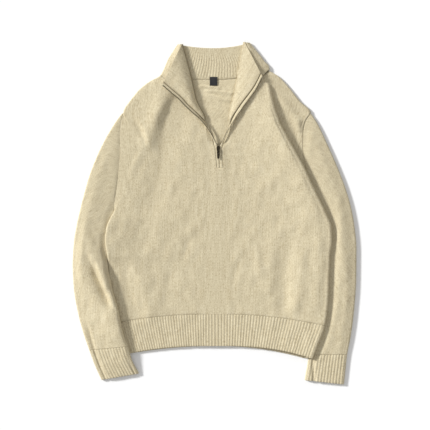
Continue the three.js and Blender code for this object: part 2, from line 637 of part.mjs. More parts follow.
function zipBand(side) {
  const grid = ZIP_LEVELS.map((level) => {
    const corner = BAND_CORNER * Math.sin(Math.PI * zipEdges(side, level).open);
    const clear = SEAM / BAND;
    return [1 - clear / 2, 0.5, clear + corner / BAND].map((k) => bandPoint(side, level, k));
  });
  return wall([{ grid, flip: side === LEFT }], BAND_THICK);
}

// The chain of the zip as a plain bead along the inner face of its band
function zipTeeth(side) {
  const grid = ZIP_LEVELS.map((level, i) => {
    const { open, free, sewn } = zipEdges(side, level);
    const next = zipEdges(side, ZIP_LEVELS[Math.min(i + 1, ZIP_LEVELS.length - 1)]).free;
    const before = zipEdges(side, ZIP_LEVELS[Math.max(i - 1, 0)]).free;
    const along = new THREE.Vector3(next.x - before.x, next.y - before.y, next.z - before.z);
    const outwards = new THREE.Vector3(sewn.x - free.x, sewn.y - free.y, sewn.z - free.z);
    const inner = outwards.clone().cross(along).normalize().multiplyScalar(-side.sign);
    const sunk = BAND_THICK / 2 + TEETH.gap + TEETH.height / 2;
    const fromEdge = mix(TEETH.closedFromEdge, TEETH.fromEdge, smooth(open * 2));
    return [-0.5, 0.5].map((half) => {
      const k = 1 - (fromEdge + half * TEETH.width) / BAND;
      const p = bandPoint(side, level, k);
      return point(p.x + inner.x * sunk, p.y + inner.y * sunk, p.z + inner.z * sunk);
    });
  });
  return wall([{ grid, flip: side === LEFT }], TEETH.height);
}

function toSolid(geometry) {
  const bare = geometry.clone();
  bare.deleteAttribute('normal');
  if (bare.getAttribute('uv')) bare.deleteAttribute('uv');
  const merged = mergeVertices(bare, 1e-4);
  return new wasm.Manifold(new wasm.Mesh({
    numProp: 3,
    vertProperties: Float32Array.from(merged.getAttribute('position').array),
    triVerts: Uint32Array.from(merged.getIndex().array),
  }));
}

function toGeometry(solid) {
  const mesh = solid.getMesh();
  const geometry = new THREE.BufferGeometry();
  geometry.setAttribute('position', new THREE.BufferAttribute(Float32Array.from(mesh.vertProperties), 3));
  geometry.setIndex(new THREE.BufferAttribute(Uint32Array.from(mesh.triVerts), 1));
  geometry.computeVertexNormals();
  return geometry;
}

// A flat shape of the zip's metal, extruded up from a height
function plate(outline, z, thickness, holes = []) {
  const shape = new THREE.Shape(outline.map(([x, y]) => new THREE.Vector2(x, y)));
  holes.forEach((hole) => shape.holes.push(new THREE.Path(hole.map(([x, y]) => new THREE.Vector2(x, y)))));
  const geometry = new THREE.ExtrudeGeometry(shape, { depth: thickness, bevelEnabled: false });
  geometry.translate(0, 0, z);
  return geometry;
}

// just clear of the bands it runs on
const SLIDER_FOOT = zipEdges(LEFT, LEVEL.slider).free.z + BAND_THICK / 2 + SLIDER.play;
const SLIDER_TOP = SLIDER_FOOT + SLIDER.plate;
const PULL_AXIS = SLIDER_TOP + PULL.play + PULL.bar;

function zipSlider() {
  const half = SLIDER.length / 2;
  const { x, y, top, bottom, shoulder, corner } = SLIDER;
  const outline = [
    [x - bottom / 2, y - half], [x + bottom / 2, y - half], [x + top / 2, y + half * shoulder],
    [x + top / 2 - corner, y + half], [x - top / 2 + corner, y + half], [x - top / 2, y + half * shoulder],
  ];
  const body = toSolid(plate(outline, SLIDER_FOOT, SLIDER.plate));
  const { width, length, window, wall: rim, foot, slope, windowSlope, shift } = BRIDGE;
  const archTop = window + rim;
  const halfArch = length / 2;
  const sideView = [
    [-halfArch, -foot], [halfArch, -foot], [halfArch, archTop - slope], [halfArch - slope, archTop],
    [-halfArch + slope, archTop], [-halfArch, archTop - slope],
  ];
  const inside = halfArch - rim - foot;
  const windowView = [
    [-inside, 0], [inside, 0], [inside - windowSlope, window], [-inside + windowSlope, window],
  ];
  const arch = plate(sideView, -width / 2, width, [windowView.reverse()]);
  arch.rotateX(Math.PI / 2);
  arch.rotateZ(Math.PI / 2);
  arch.translate(x, PULL.y + shift, SLIDER_TOP);
  return toGeometry(body.add(toSolid(arch)));
}

// Pull tab: a bar through the bridge, two arms beside it, and a flat plate
function zipPull() {
  const { bar, y, length, arm, plate: width, eye: half, flare, tip, thick } = PULL;
  const { x } = SLIDER;
  const outer = width / 2 + flare;
  const end = width / 2 - flare;
  const outline = [
    [x - outer, y + bar], [x - outer, y - arm], [x - end, y - length + tip], [x - tip, y - length],
    [x + tip, y - length], [x + end, y - length + tip], [x + outer, y - arm], [x + outer, y + bar],
  ];
  const eyeEnd = y - arm + bar;
  const eye = [[x - half, y - bar], [x + half, y - bar], [x + half, eyeEnd], [x - half, eyeEnd]];
  return plate(outline, PULL_AXIS - thick / 2, thick, [eye]);
}

function neckLabel() {
  const geometry = new THREE.BoxGeometry(LABEL.width, LABEL.height, LABEL.thick);
  const foot = CLOTH + RIB_RAISE + 0.3;
  geometry.translate(LABEL.x, LABEL.y, foot + LABEL.thick / 2);
  return geometry;
}

// Finishes: oatmeal wool knit, its ribbed trim, the black label, the metal of the zip
const KNIT = { color: 0xd3c8a6, roughness: 0.95, metalness: 0 };
const RIB = { color: 0xd6caa8, roughness: 0.95, metalness: 0 };
const METAL = { color: 0x5d574a, roughness: 0.4, metalness: 0.9 };
const BLACK = { color: 0x1b1b1d, roughness: 0.8, metalness: 0 };

const sweater = new THREE.Group();

function sew(name, geometry, finish) {
  const mesh = new THREE.Mesh(geometry, new THREE.MeshStandardMaterial(finish));
  mesh.name = name;
  sweater.add(mesh);
}

sew('back_panel', backPanel(), KNIT);
sew('front_panel', frontPanel(), KNIT);
sew('collar', collar(), RIB);
sew('sleeve_left', sleeve(LEFT, SLEEVE_LEFT, CUFF_LEFT), KNIT);
sew('sleeve_right', sleeve(RIGHT, SLEEVE_RIGHT, CUFF_RIGHT), KNIT);
sew('cuff_left', cuff(LEFT, SLEEVE_LEFT, CUFF_LEFT), RIB);
sew('cuff_right', cuff(RIGHT, SLEEVE_RIGHT, CUFF_RIGHT), RIB);
sew('hem_front', hemFront(), RIB);
sew('hem_back', hemBack(), RIB);
sew('zip_band_left', zipBand(LEFT), RIB);
sew('zip_band_right', zipBand(RIGHT), RIB);
sew('zip_teeth_left', zipTeeth(LEFT), METAL);
sew('zip_teeth_right', zipTeeth(RIGHT), METAL);
sew('zip_slider', zipSlider(), METAL);
sew('zip_pull', zipPull(), METAL);
sew('neck_label', neckLabel(), BLACK);

export default sweater;
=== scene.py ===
import json
import math

import bmesh
import bpy
import numpy as np
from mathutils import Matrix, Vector

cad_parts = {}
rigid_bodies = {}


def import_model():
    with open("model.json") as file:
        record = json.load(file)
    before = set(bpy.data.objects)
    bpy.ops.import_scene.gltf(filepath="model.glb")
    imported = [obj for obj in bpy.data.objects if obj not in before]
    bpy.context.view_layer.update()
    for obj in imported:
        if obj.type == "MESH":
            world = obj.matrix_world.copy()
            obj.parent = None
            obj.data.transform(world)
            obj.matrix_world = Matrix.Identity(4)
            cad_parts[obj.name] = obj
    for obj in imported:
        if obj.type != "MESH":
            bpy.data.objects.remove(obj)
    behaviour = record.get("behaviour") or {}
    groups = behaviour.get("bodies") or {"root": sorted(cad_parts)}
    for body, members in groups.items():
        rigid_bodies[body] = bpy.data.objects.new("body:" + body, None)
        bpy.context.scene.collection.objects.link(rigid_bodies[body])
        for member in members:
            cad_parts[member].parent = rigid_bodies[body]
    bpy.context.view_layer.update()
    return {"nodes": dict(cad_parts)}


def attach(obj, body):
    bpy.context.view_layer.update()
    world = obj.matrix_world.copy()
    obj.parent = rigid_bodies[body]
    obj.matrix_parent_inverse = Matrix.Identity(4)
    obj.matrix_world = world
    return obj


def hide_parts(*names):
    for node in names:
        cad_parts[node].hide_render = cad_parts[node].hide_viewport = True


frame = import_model()
scene = bpy.context.scene
MM = 0.001


def placed(name, data):
    """A new object in the scene."""
    obj = bpy.data.objects.new(name, data)
    scene.collection.objects.link(obj)
    return obj


def mesh_of(name, verts, faces, soft=True):
    """A mesh of these faces, shaded soft or flat."""
    mesh = bpy.data.meshes.new(name)
    mesh.from_pydata(verts, [], faces)
    mesh.polygons.foreach_set("use_smooth", np.full(len(faces), soft))
    return mesh


# Camera, straight above
LENS = 120.0
SENSOR = 36.0
PICTURE_WIDTH = 1.032  # metres of floor across the picture
camera_data = bpy.data.cameras.new("camera")
camera_data.lens = LENS
camera_data.sensor_width = SENSOR
camera_data.clip_end = 20
camera = placed("camera", camera_data)
camera.location = (0.0012, -0.0041, PICTURE_WIDTH * LENS / SENSOR)
bpy.context.scene.camera = camera

# Sizes in millimetres, with the heights of the middle of the cloth
CLOTH = 2.3
REST = 1.2  # height of a layer that lies on the floor
BASE = 7.0  # height of the front over the back
FOOT = 4.8  # height of the lower layer of a turned front
BAND = 8.0
BAND_THICK = 1.7
BAND_CORNER = 4.2  # how far an upright band reaches round the sewn edge
UNDER_FRONT = 3.6  # the front's middle never comes lower than this over the back
FLAT_RUN = 14.0  # width of the front beside the closed zip
TURN_BULGE = 1.6
RIB_RAISE = 0.85
HEM_RIBS = 33  # across one half of the front
MIDDLE_RIBS = 2  # between them and the width of the band
STRIP_CELLS = 6  # across the band below the zip
DEEPEST = 1.7  # how far the cloth sinks in its deepest groove
CUFF_RIBS = 12
COLLAR_RIBS = 33
ARMHOLE_GAP = 0.06
UNDERARM_GAP = 0.04
TEETH = {"pitch": 2.5, "width": 2.1, "length": 1.25, "height": 1.3, "gap": 0.1, "from_edge": 0.8}
STITCH = {"pitch": 3.1, "length": 2.2, "radius": 0.26}
LABEL = {"x": -2.2, "y": 316.5, "width": 18.0, "height": 21.0, "foot": 3.7, "thick": 0.5}
LEVEL = {"hem": 0, "hem_seam": 76, "zip_end": 427, "slider": 470, "armhole": 526, "neck": 610, "top": 686}


def table(columns, rows):
    return {name: np.array([row[i] for row in rows], float) for i, name in enumerate(columns.split())}


# Opening of the front: zip edge, how far it is turned over, the roll of the turned part
OPENING_NAMES = "level zip_x zip_y zip_z open roll_x roll_y roll_z arch"
OPENING_LEFT = table(OPENING_NAMES, [
    (0, 3, -318, 7, 0, -12, -318, 10, 0),
    (76, 3, -242, 7, 0, -12, -242, 10, 0),
    (300, 6, -18, 7.2, 0, -10, -18, 10, 0),
    (427, 13, 109, 7.8, 0, -4, 109, 10, 0),
    (462, 9.6, 144, 8.3, 0, -4, 144, 10, 0),
    (470, 9, 152, 8.4, 0, -4, 152, 10, 0),
    (482, 6, 163, 8.6, 0.06, -3, 165, 10, 0),
    (494, -1, 176, 11.4, 0.34, -2, 179, 9.6, 0.2),
    (512, -11, 193, 13.4, 0.56, -6, 196, 9, 0.6),
    (530, -22, 208, 14.6, 0.74, -14, 212, 8.8, 1.4),
    (548, -36, 224, 16, 0.9, -20, 230, 8.8, 2.6),
    (572, -56, 242, 17.4, 1, -33, 252, 8.8, 4),
    (596, -74, 259, 18.6, 1, -43, 274, 9, 5.4),
    (610, -83, 269, 19.2, 1, -47, 292, 9, 6.2),
    (648, -105, 288, 20.4, 1, -61, 352, 9.2, 6.6),
    (686, -126, 306, 20.8, 1, -76, 405, 10, 2.4),
])
OPENING_RIGHT = table(OPENING_NAMES, [
    (0, 3, -318, 7, 0, 18, -318, 10, 0),
    (76, 3, -242, 7, 0, 18, -242, 10, 0),
    (300, 6, -18, 7.2, 0, 22, -18, 10, 0),
    (427, 13, 109, 7.8, 0, 30, 109, 10, 0),
    (462, 9.6, 144, 8.3, 0, 24, 144, 10, 0),
    (470, 9, 152, 8.4, 0, 22, 152, 10, 0),
    (482, 14, 163.5, 8.6, 0.06, 20, 165, 10, 0),
    (494, 21, 175, 11.4, 0.34, 20, 180, 9.6, 0.2),
    (512, 29.5, 192, 13.4, 0.56, 22, 197, 9, 0.6),
    (530, 41, 211, 14.4, 0.74, 27, 213, 8.8, 1.2),
    (548, 50, 226, 15.4, 0.9, 33, 232, 8.8, 2),
    (572, 62, 243, 16.6, 1, 39, 254, 8.8, 3),
    (596, 73, 259, 17.4, 1, 45, 276, 9, 4.4),
    (610, 80, 268, 18, 1, 49, 292, 9, 5.4),
    (648, 100, 296, 18.8, 1, 59, 350, 9.2, 6),
    (686, 115, 326, 19, 1, 70, 410, 10, 2.4),
])

# Sides of the front: fold line, its top and underside, the tuck, the hidden layer, the sewn edge
SIDE_NAMES = "level fold_x fold_y top under tuck low lean curl seam_x seam_y seam_z bend"
ON_FLOOR = (1.2, 4, 1.2, 3, 1)  # underside, tuck, hidden layer, lean and curl of a side on the floor
ON_SLEEVE = (4, 4, 4, 3, 0)  # and of one that is sewn to a sleeve on top of it
SIDE_LEFT = table(SIDE_NAMES, [
    (0, -212, -337, 5, *ON_FLOOR, -202, -336, 1.2, 2.2),
    (30, -222, -309, 5, *ON_FLOOR, -212, -309, 1.2, 2.2),
    (76, -236, -262, 5, *ON_FLOOR, -226, -262, 1.2, 2),
    (110, -244, -222, 5.2, *ON_FLOOR, -234, -222, 1.2, 1.8),
    (155, -252, -166, 5.2, *ON_FLOOR, -242, -166, 1.2, 1.5),
    (185, -254, -134, 5.2, *ON_FLOOR, -243, -134, 1.2, 1.2),
    (200, -254, -118, 7.6, 3.2, 5, 1.2, 4, 1, -241, -118, 1.2, 1),
    (218, -256, -100, 13, 8.4, 9, 1.2, 7, 1, -237, -100, 1.2, 1),
    (254, -261, -64, 14.6, 9.6, 12, 1.2, 8, 1, -237, -64, 1.2, 1),
    (286, -257, -32, 14.4, 9.6, 12, 1.2, 8, 1, -233, -32, 1.2, 1),
    (305, -249, -13, 13.4, 9.4, 10, 1.2, 8, 1, -227, -13, 1.2, 1),
    (318, -243, 0, 10.4, 6, 7, 2.4, 5, 0.6, -234, 0, 3.7, 1),
    (333, -237, 15, 8.4, 5, 4, 4, 3, 0, -241, 15, 6.4, 1),
    (360, -222, 45, 7.4, *ON_SLEEVE, -237, 45, 6.4, 1),
    (427, -212, 105, 7.2, *ON_SLEEVE, -230, 103, 6.4, 1),
    (470, -206, 146, 7.2, *ON_SLEEVE, -227, 143, 6.4, 1),
    (494, -205, 178, 7.2, *ON_SLEEVE, -228, 176, 6.2, 1),
    (512, -206, 210, 7, 3.4, 4, 3, 3, 0, -225, 211, 5.8, 1),
    (526, -218.5, 238.3, 6, 2.4, 3, 2.2, 1, 0.3, -220, 238.5, 4.8, 1),
    (530, -216.5, 246.5, 5.8, *ON_FLOOR, -210.5, 241.5, 1.2, 1),
    (548, -199.5, 271.5, 5.6, *ON_FLOOR, -191, 267, 1.2, 1),
    (572, -178, 297, 5.8, *ON_FLOOR, -171, 291, 1.2, 1),
    (596, -153, 316, 6, *ON_FLOOR, -148, 309, 1.2, 1),
    (610, -130, 329, 6.4, *ON_FLOOR, -121, 327, 1.2, 1.6),
    (648, -109, 371, 7, *ON_FLOOR, -99, 370, 1.2, 1.2),
    (686, -88, 404, 7, *ON_FLOOR, -78, 403, 1.2, 1),
])
SIDE_RIGHT = table(SIDE_NAMES, [
    (0, 234, -347, 15.6, 9.6, 12, 1.2, 5, 1, 214, -347, 1.2, 2.4),
    (30, 246, -314, 16.2, 9.6, 24, 1.2, 5, 1, 214, -314, 1.2, 2.2),
    (76, 263, -268, 16.8, 9.6, 35, 1.2, 5, 1, 220, -268, 1.2, 2),
    (110, 270, -220, 17, 9.6, 40, 1.2, 5, 1, 222, -220, 1.2, 1.8),
    (155, 273, -163, 17.2, 9.6, 42, 1.2, 5, 1, 223, -163, 1.2, 1.4),
    (218, 275, -101, 17.2, 9.6, 44, 1.2, 5, 1, 223, -101, 1.2, 1),
    (254, 280, -62, 19, 9.6, 50, 1.2, 5, 1, 222, -62, 1.2, 1),
    (286, 278, -30, 20, 9.6, 50, 1.2, 5, 1, 220, -30, 1.2, 1),
    (311, 268, -5, 20.6, 9.6, 44, 1.2, 5, 1, 217, -5, 1.2, 1),
    (333, 258, 18, 21, 9.6, 31, 3.7, 2, 1, 222.5, 18, 3.7, 1),
    (350, 250, 33, 21.4, 9.6, 38, 5, 0, 1, 228, 33, 5, 1),
    (390, 231, 72, 22, 9.6, 34, 5, 0, 1, 222, 72, 5, 1),
    (427, 215, 107, 22.4, 9.6, 30, 5, 0, 1, 218, 109, 5, 1),
    (470, 192, 149, 22.4, 9.6, 26, 5, 0, 1, 212.5, 158, 5.2, 1),
    (494, 175, 180, 22, 9.6, 24, 5, 0, 1, 213, 193, 5.6, 1),
    (512, 163, 202, 21.8, 9.4, 22, 5, 0, 1, 217.5, 219.5, 6, 1),
    (526, 155, 218, 21.2, 9.2, 20, 5, 0, 1, 229.5, 238, 5.6, 1),
    (530, 153, 224, 21, 9.2, 19, 5, 0, 1, 231, 242, 4.2, 1),
    (548, 144, 250, 19.6, 8.4, 14, 5, 0, 0.9, 206, 267, 4.2, 1),
    (572, 137, 278, 17.6, 7, 8, 5, 0, 0.8, 181, 298, 4.2, 1),
    (596, 130, 308, 14, 5.4, 5, 5, 0, 0.5, 155, 326, 4.2, 1),
    (609.9, 112, 323.4, 7.4, 5.4, 4, 5, 0, 0, 131, 341, 4.2, 1.6),
    (610, 131, 342, 6.4, *ON_FLOOR, 122, 341.5, 1.2, 1.6),
    (648, 117, 366, 7, *ON_FLOOR, 107, 366, 1.2, 1.2),
    (686, 84, 408, 7, *ON_FLOOR, 74, 406, 1.2, 1),
])
BACK_MIDDLE = table("level y", [
    (0, -318), (76, -242), (427, 109), (470, 150), (512, 205), (548, 250), (572, 276), (596, 303), (610, 320),
    (686, 396),
])

# Sleeves from the armhole down
SLEEVE_NAMES = "station out_x out_y in_x in_y out_top in_top in_floor puff follow cover"
SLEEVE_LEFT = table(SLEEVE_NAMES, [
    (0, -218.5, 245, -242, 14, 5.6, 6.2, 1.2, 0.3, 1, 1),
    (1, -246, 206, -242, 0, 6.2, 6.2, 1.2, 1.6, 0.42, 1),
    (2, -269, 164, -246, -20, 6.6, 6, 1.2, 2.4, 0.12, 0.96),
    (3, -286, 124, -250, -45, 6.8, 6, 1.2, 3, 0, 0.92),
    (4, -300, 86, -251.5, -70, 7, 6, 1.2, 3.4, 0, 0.9),
    (5, -312, 44, -253.5, -92, 7, 6, 1.2, 4, 0, 0.88),
    (6, -321, 8, -257.2, -111, 7, 7, 1.4, 5, 0, 0.95),
    (7, -330, -32, -254.6, -138, 7, 13.4, 8.4, 6, 0, 1.05),
    (8, -336, -72, -249, -161, 7, 17, 8.4, 8.2, 0, 1.05),
    (9, -339, -122, -244, -186, 7, 19, 8.4, 8.4, 0, 1.05),
    (10, -336, -180, -233, -222, 7, 20.4, 9, 4.4, 0, 1.05),
    (11, -327, -234, -226, -255, 7, 22.4, 9, 2.4, 0, 1.05),
    (12, -314, -284, -219, -287, 7, 22.4, 9, 2.2, 0, 1.05),
    (13, -299, -328, -208, -318, 6.4, 18.4, 9, 1.6, 0, 1.05),
    (14, -287, -361, -199, -350, 6.2, 14, 8.2, 1.2, 0, 1.05),
    (15, -270, -399, -182, -384, 6, 6, 1.2, 1.4, 0, 1.05),
])
SLEEVE_RIGHT = table(SLEEVE_NAMES, [
    (0, 231.5, 243, 229, 30, 5.6, 5, 1.2, 0.3, 1, 0.8),
    (1, 255, 202, 231.5, 8, 6.2, 5.6, 1.2, 2.6, 0.42, 0.72),
    (2, 274, 157, 234.5, -18, 6.6, 6, 1.2, 4, 0.12, 0.64),
    (3, 294, 109, 237, -50, 6.8, 6.2, 1.2, 4.4, 0, 0.57),
    (4, 311, 65, 239, -80, 7, 6.2, 1.2, 4.8, 0, 0.52),
    (5, 325, 18, 240, -112, 7, 6.2, 1.2, 5, 0, 0.5),
    (6, 334, -30, 240, -145, 7, 6.2, 1.2, 5, 0, 0.57),
    (7, 339, -86, 239.5, -180, 7, 6.2, 1.2, 5, 0, 0.62),
    (8, 338.5, -155, 239, -215, 7, 6.2, 1.2, 4.6, 0, 0.64),
    (9, 334, -224, 238, -252, 7, 6.2, 1.2, 4.2, 0, 0.66),
    (10, 326, -290, 236, -294, 6.8, 6.2, 1.2, 3.2, 0, 0.74),
    (11, 317, -338, 228, -339, 6.4, 5.8, 1.2, 2, 0, 0.84),
    (12, 313, -372, 222.5, -369, 6.2, 6.4, 1.2, 1.4, 0, 1.05),
    (13, 309, -410, 217, -399.5, 6, 7, 1.2, 1.4, 0, 1.05),
])
CUFF_LEFT, END_LEFT = 13, 15  # stations of the cuff's seam and its end
CUFF_RIGHT, END_RIGHT = 11, 13
ABOVE_SEAM, BELOW_SEAM = 0.002, 0.003  # of a station, from the cuff's seam to the cloth

# Creases: x0 y0 x1 y1, from one point to another, how far the line bows, the spread on its left
# and on its right, seen along the line, and its rise
FRONT_CREASES = [
    (-84, 290, -106, 184, 4, 34, 20, -8.6),
    (-86, 262, -124, 138, 6, 26, 14, -4.2),
    (-122, 150, -146, 10, 2, 24, 15, -2.8),
    (-148, 60, -184, -92, 6, 30, 20, -2.6),
    (-52, -54, -74, -108, 3, 6, 9, -1.5),
    (-22, -92, 8, -126, 2, 9, 6, -1.2),
    (-104, -128, -118, -214, -3, 14, 9, -1.5),
    (62, -108, 44, -176, 3, 7, 9, -1.3),
    (96, -70, 108, -150, -3, 8, 10, 1.3),
    (-120, 280, -160, 160, 3, 14, 22, 6),
    (-196, 222, -166, 168, -3, 8, 4, -2.8),
    (-186, 226, -158, 176, -3, 8, 5, 2),
    (-162, 166, -204, 86, 4, 16, 7, 1.6),
    (-154, 150, -190, 78, 4, 9, 12, -0.8),
    (-211, -130, -209, -196, 0, 7, 12, -2.8),
    (-206, -182, -180, -256, 3, 9, 20, -3.2),
    (-196, -112, -152, -250, -4, 30, 14, 3.2),
    (-250, -130, -238, -156, 1, 3, 4, -2.6),
    (-229, -144, -234, -186, 1, 2.4, 4, -2.6),
    (208, -80, 192, -232, -4, 14, 20, 3.6),
    (172, -110, 168, -244, 3, 14, 18, -3.2),
    (150, -40, 128, -190, 5, 16, 24, 1.6),
    (100, 190, 150, 60, 8, 34, 40, 2.2),
    (114, 262, 192, 104, -6, 17, 40, 3.6),
    (192, 104, 246, -30, -4, 17, 40, 3.6),
    (246, -30, 234, -236, -6, 17, 38, 3.4),
]
SHOULDER_CREASES = [
    (150, 276, 204, 207, -5, 9, 7, 3.4),
    (176, 246, 196, 172, -3, 6, 9, -1.8),
    (208, 222, 213, 184, 1, 3.4, 2.6, -2.6),
    (196, 226, 207, 196, -1, 5, 4, 1.6),
]
SLEEVE_CREASES = [
    (-306, -96, -252, -200, 4, 6, 22, -5.6),
    (-288, -118, -247, -222, 3, 4, 13, -10),
    (-262, -80, -242, -150, 4, 9, 8, 1),
    (-303, -268, -260, -397, 3, 3, 6, -4.4),
    (-206, -346, -190, -386, 0, 3, 2.6, -2.8),
    (-238, -218, -236, -238, 0, 2.2, 3, -2.6),
    (222, 206, 216, 160, 2, 5, 3, -2.4),
    (240, 196, 226, 140, 4, 9, 6, 1.6),
    (236, -346, 239, -410, 1, 4, 4, -3.2),
    (300, 40, 312, -150, 4, 10, 12, 1.8),
]

# Cells across each stretch of the front's section
FRONT_CELLS = {"lapel": 26, "roll": 8, "front": 74, "fold": 8, "under": 9, "turn": 4, "last": 16}


def mix(a, b, t):
    return a + (b - a) * t


def smooth(t):
    k = np.clip(t, 0, 1)
    return k * k * (3 - 2 * k)


def sample(rows, at):
    """Every column at a place of the first column, on a smooth curve through the rows."""
    key = next(iter(rows.values()))
    x = min(key[-1], max(key[0], at))
    i = int(min(len(key) - 2, max(0, np.searchsorted(key, x) - 1)))
    h = key[i + 1] - key[i]
    t = (x - key[i]) / h
    t2, t3 = t * t, t * t * t

    def slope(v, j):
        steps = [(v[k + 1] - v[k]) / (key[k + 1] - key[k]) for k in (j - 1, j) if 0 <= k < len(key) - 1]
        before, after = steps[0], steps[-1]
        return 0.0 if before * after <= 0 else 2 * before * after / (before + after)

    return {name: float(
        (2 * t3 - 3 * t2 + 1) * v[i] + (t3 - 2 * t2 + t) * h * slope(v, i)
        + (3 * t2 - 2 * t3) * v[i + 1] + (t3 - t2) * h * slope(v, i + 1)
    ) for name, v in rows.items()}


def kept_above(z, least, soft=1.6):
    """z, held softly above the least height, so that no layer sinks into the one below."""
    return least + soft * np.logaddexp(0, (z - least) / soft)


def creases(rows, x, y):
    """Rise of the crease lines at places: soft ridges or troughs that fade out at both ends."""
    rise = np.zeros_like(x)
    for x0, y0, x1, y1, bow, left, right, height in rows:
        dx, dy = x1 - x0, y1 - y0
        length = math.hypot(dx, dy)
        along = ((x - x0) * dx + (y - y0) * dy) / length ** 2
        across = ((x - x0) * dy - (y - y0) * dx) / length - bow * (1 - (2 * along - 1) ** 2)
        spread = np.where(across < 0, left, right)
        fade = smooth((along + 0.15) / 0.4) * smooth((1.15 - along) / 0.3)
        rise += height * fade * np.exp(-((across / spread) ** 2))
    return rise


def points(x, y, z):
    return np.stack(np.broadcast_arrays(np.asarray(x, float), y, z), axis=-1)


def zip_edges(side, level):
    """The free edge of the zip's band and the edge that is sewn to the front."""
    o = sample(side["opening"], level)
    opened = min(1.0, max(0.0, o["open"]))
    free = np.array([o["zip_x"], o["zip_y"], o["zip_z"]])
    reach = math.hypot(o["roll_x"] - o["zip_x"], o["roll_y"] - o["zip_y"])
    across = BAND * abs(math.cos(math.pi * opened))
    down = BAND * math.sin(math.pi * opened)
    if opened < 0.5:
        return o, opened, free, free + [side["sign"] * across, 0, -down]
    slope = (o["zip_z"] - o["roll_z"]) / reach
    sewn = free + [
        (o["roll_x"] - o["zip_x"]) / reach * across,
        (o["roll_y"] - o["zip_y"]) / reach * across,
        -down - slope * across,
    ]
    return o, opened, free, sewn


def front_row(side, level, cells):
    """One row of the front, from the zip's band out and round the side to the sewn edge."""
    sign = side["sign"]
    o, opened, free, sewn = zip_edges(side, level)
    s = sample(side["edge"], level)
    turned = float(smooth(opened * 2 - 1))
    radius = (o["roll_z"] - FOOT) / 2
    flat_cells = cells["lapel"] + cells["roll"]
    i = np.arange(flat_cells + 1)
    flat_end = np.array([sewn[0] + sign * FLAT_RUN, sewn[1], BASE])
    flat = mix(sewn, flat_end, (i / flat_cells)[:, None])
    flat[:, 2] = mix(sewn[2], BASE, smooth(i / flat_cells))
    roll_top = np.array([o["roll_x"] + sign * radius, o["roll_y"], o["roll_z"]])
    share = np.minimum(1, i / cells["lapel"]) ** 1.6
    lapel_part = mix(sewn, roll_top, share[:, None])
    bow = np.sin(np.pi * share ** side["bow_place"])
    lapel_part[:, 2] += bow * mix(1.2, side["lapel_bow"], float(smooth((level - 540) / 70)))
    angle = np.pi * np.maximum(0, (i - cells["lapel"]) / cells["roll"])
    roll_part = points(
        o["roll_x"] + sign * radius * (1 - np.sin(angle)), o["roll_y"], FOOT + radius * (1 + np.cos(angle))
    )
    folded = np.where((i <= cells["lapel"])[:, None], lapel_part, roll_part)
    head = mix(flat, folded, turned)
    head[:, 2] += lapel_uneven(head[:, 0], head[:, 1]) * turned

    start = head[-1]
    fold_radius = (s["top"] - s["under"]) / 2
    fold_top = np.array([s["fold_x"] - sign * fold_radius, s["fold_y"], s["top"]])
    k = np.arange(1, cells["front"] + 1) / cells["front"]
    x = mix(start[0], fold_top[0], k)
    y = mix(start[1], fold_top[1], k ** s["bend"])
    window = smooth(k / 0.08) * smooth((1 - k) / 0.05)
    z = (BASE + (start[2] - BASE) * (1 - k) ** 4 + (s["top"] - BASE) * k ** 2
         + o["arch"] * np.sin(np.pi * k) + window * (creases(FRONT_CREASES, x, y) + front_uneven(x, y)))
    z = mix(z, kept_above(z, UNDER_FRONT), window)
    middle = points(x, y, z)

    sewn_edge = np.array([s["seam_x"], s["seam_y"], s["seam_z"]])
    tucked = np.array([s["fold_x"] - sign * s["tuck"], s["fold_y"], s["under"]])
    turned_in = np.array([s["fold_x"] - sign * (s["tuck"] + s["lean"]), s["fold_y"], s["low"]])
    angle = np.pi * np.arange(1, cells["fold"] + 1) / cells["fold"]
    fold = points(
        fold_top[0] + sign * fold_radius * np.sin(angle), s["fold_y"],
        s["under"] + fold_radius * (1 + np.cos(angle)),
    )
    under = mix(fold[-1], tucked, (np.arange(1, cells["under"] + 1) / cells["under"])[:, None])
    k = np.arange(1, cells["turn"] + 1) / cells["turn"]
    turn = mix(tucked, turned_in, k[:, None])
    turn[:, 0] -= sign * TURN_BULGE * min(1.0, max(0.0, 1 - s["lean"] / 2)) * np.sin(np.pi * k)
    k = np.arange(1, cells["last"] + 1) / cells["last"]
    last = mix(turned_in, sewn_edge, k[:, None])
    last[:, 2] += smooth((1 - k) / 0.12) * creases(SHOULDER_CREASES, last[:, 0], last[:, 1])
    tail = np.concatenate([fold, under, turn, last])
    flat_tail = mix(fold_top, sewn_edge, (np.arange(1, len(tail) + 1) / len(tail))[:, None])
    tail = mix(flat_tail, tail, min(1.0, max(0.0, s["curl"])))
    return np.concatenate([head, middle, tail])


# The last number of each side sinks the turned roll's edge and paints shade along it: a dark line on the
# left, a dimmed lit edge on the right
LEFT = {
    "sign": -1, "opening": OPENING_LEFT, "edge": SIDE_LEFT, "underarm": 333,
    "lapel_bow": 7, "bow_place": 1.3, "roll_dip_and_shade": 1.7,
}
RIGHT = {
    "sign": 1, "opening": OPENING_RIGHT, "edge": SIDE_RIGHT, "underarm": 350,
    "lapel_bow": 1.6, "bow_place": 0.8, "roll_dip_and_shade": 0.55,
}


def levels_between(first, last, step, kept=()):
    """Evenly spaced levels that pass through the kept ones, closer together at both ends."""
    stops = [first, *[k for k in kept if first < k < last], last]
    found = []
    for a, b in zip(stops, stops[1:]):
        count = max(1, round((b - a) / step))
        found += [a + (b - a) * i / count for i in range(count)]
    found.append(last)
    return [found[0], found[0] + 1.2, *found[1:-1], found[-1] - 1.2, found[-1]]


def lengths_across(rows, start=0.0):
    """Distance along each row of points from its first one, in millimetres."""
    steps = np.linalg.norm(np.diff(rows, axis=1), axis=2)
    return start + np.concatenate([np.zeros((len(rows), 1)), np.cumsum(steps, axis=1)], axis=1)


def seam_dip(distance, depth=0.45, width=1.4):
    """How far a face sinks towards a seam that is this far away."""
    return -depth * np.exp(-((distance / width) ** 2))


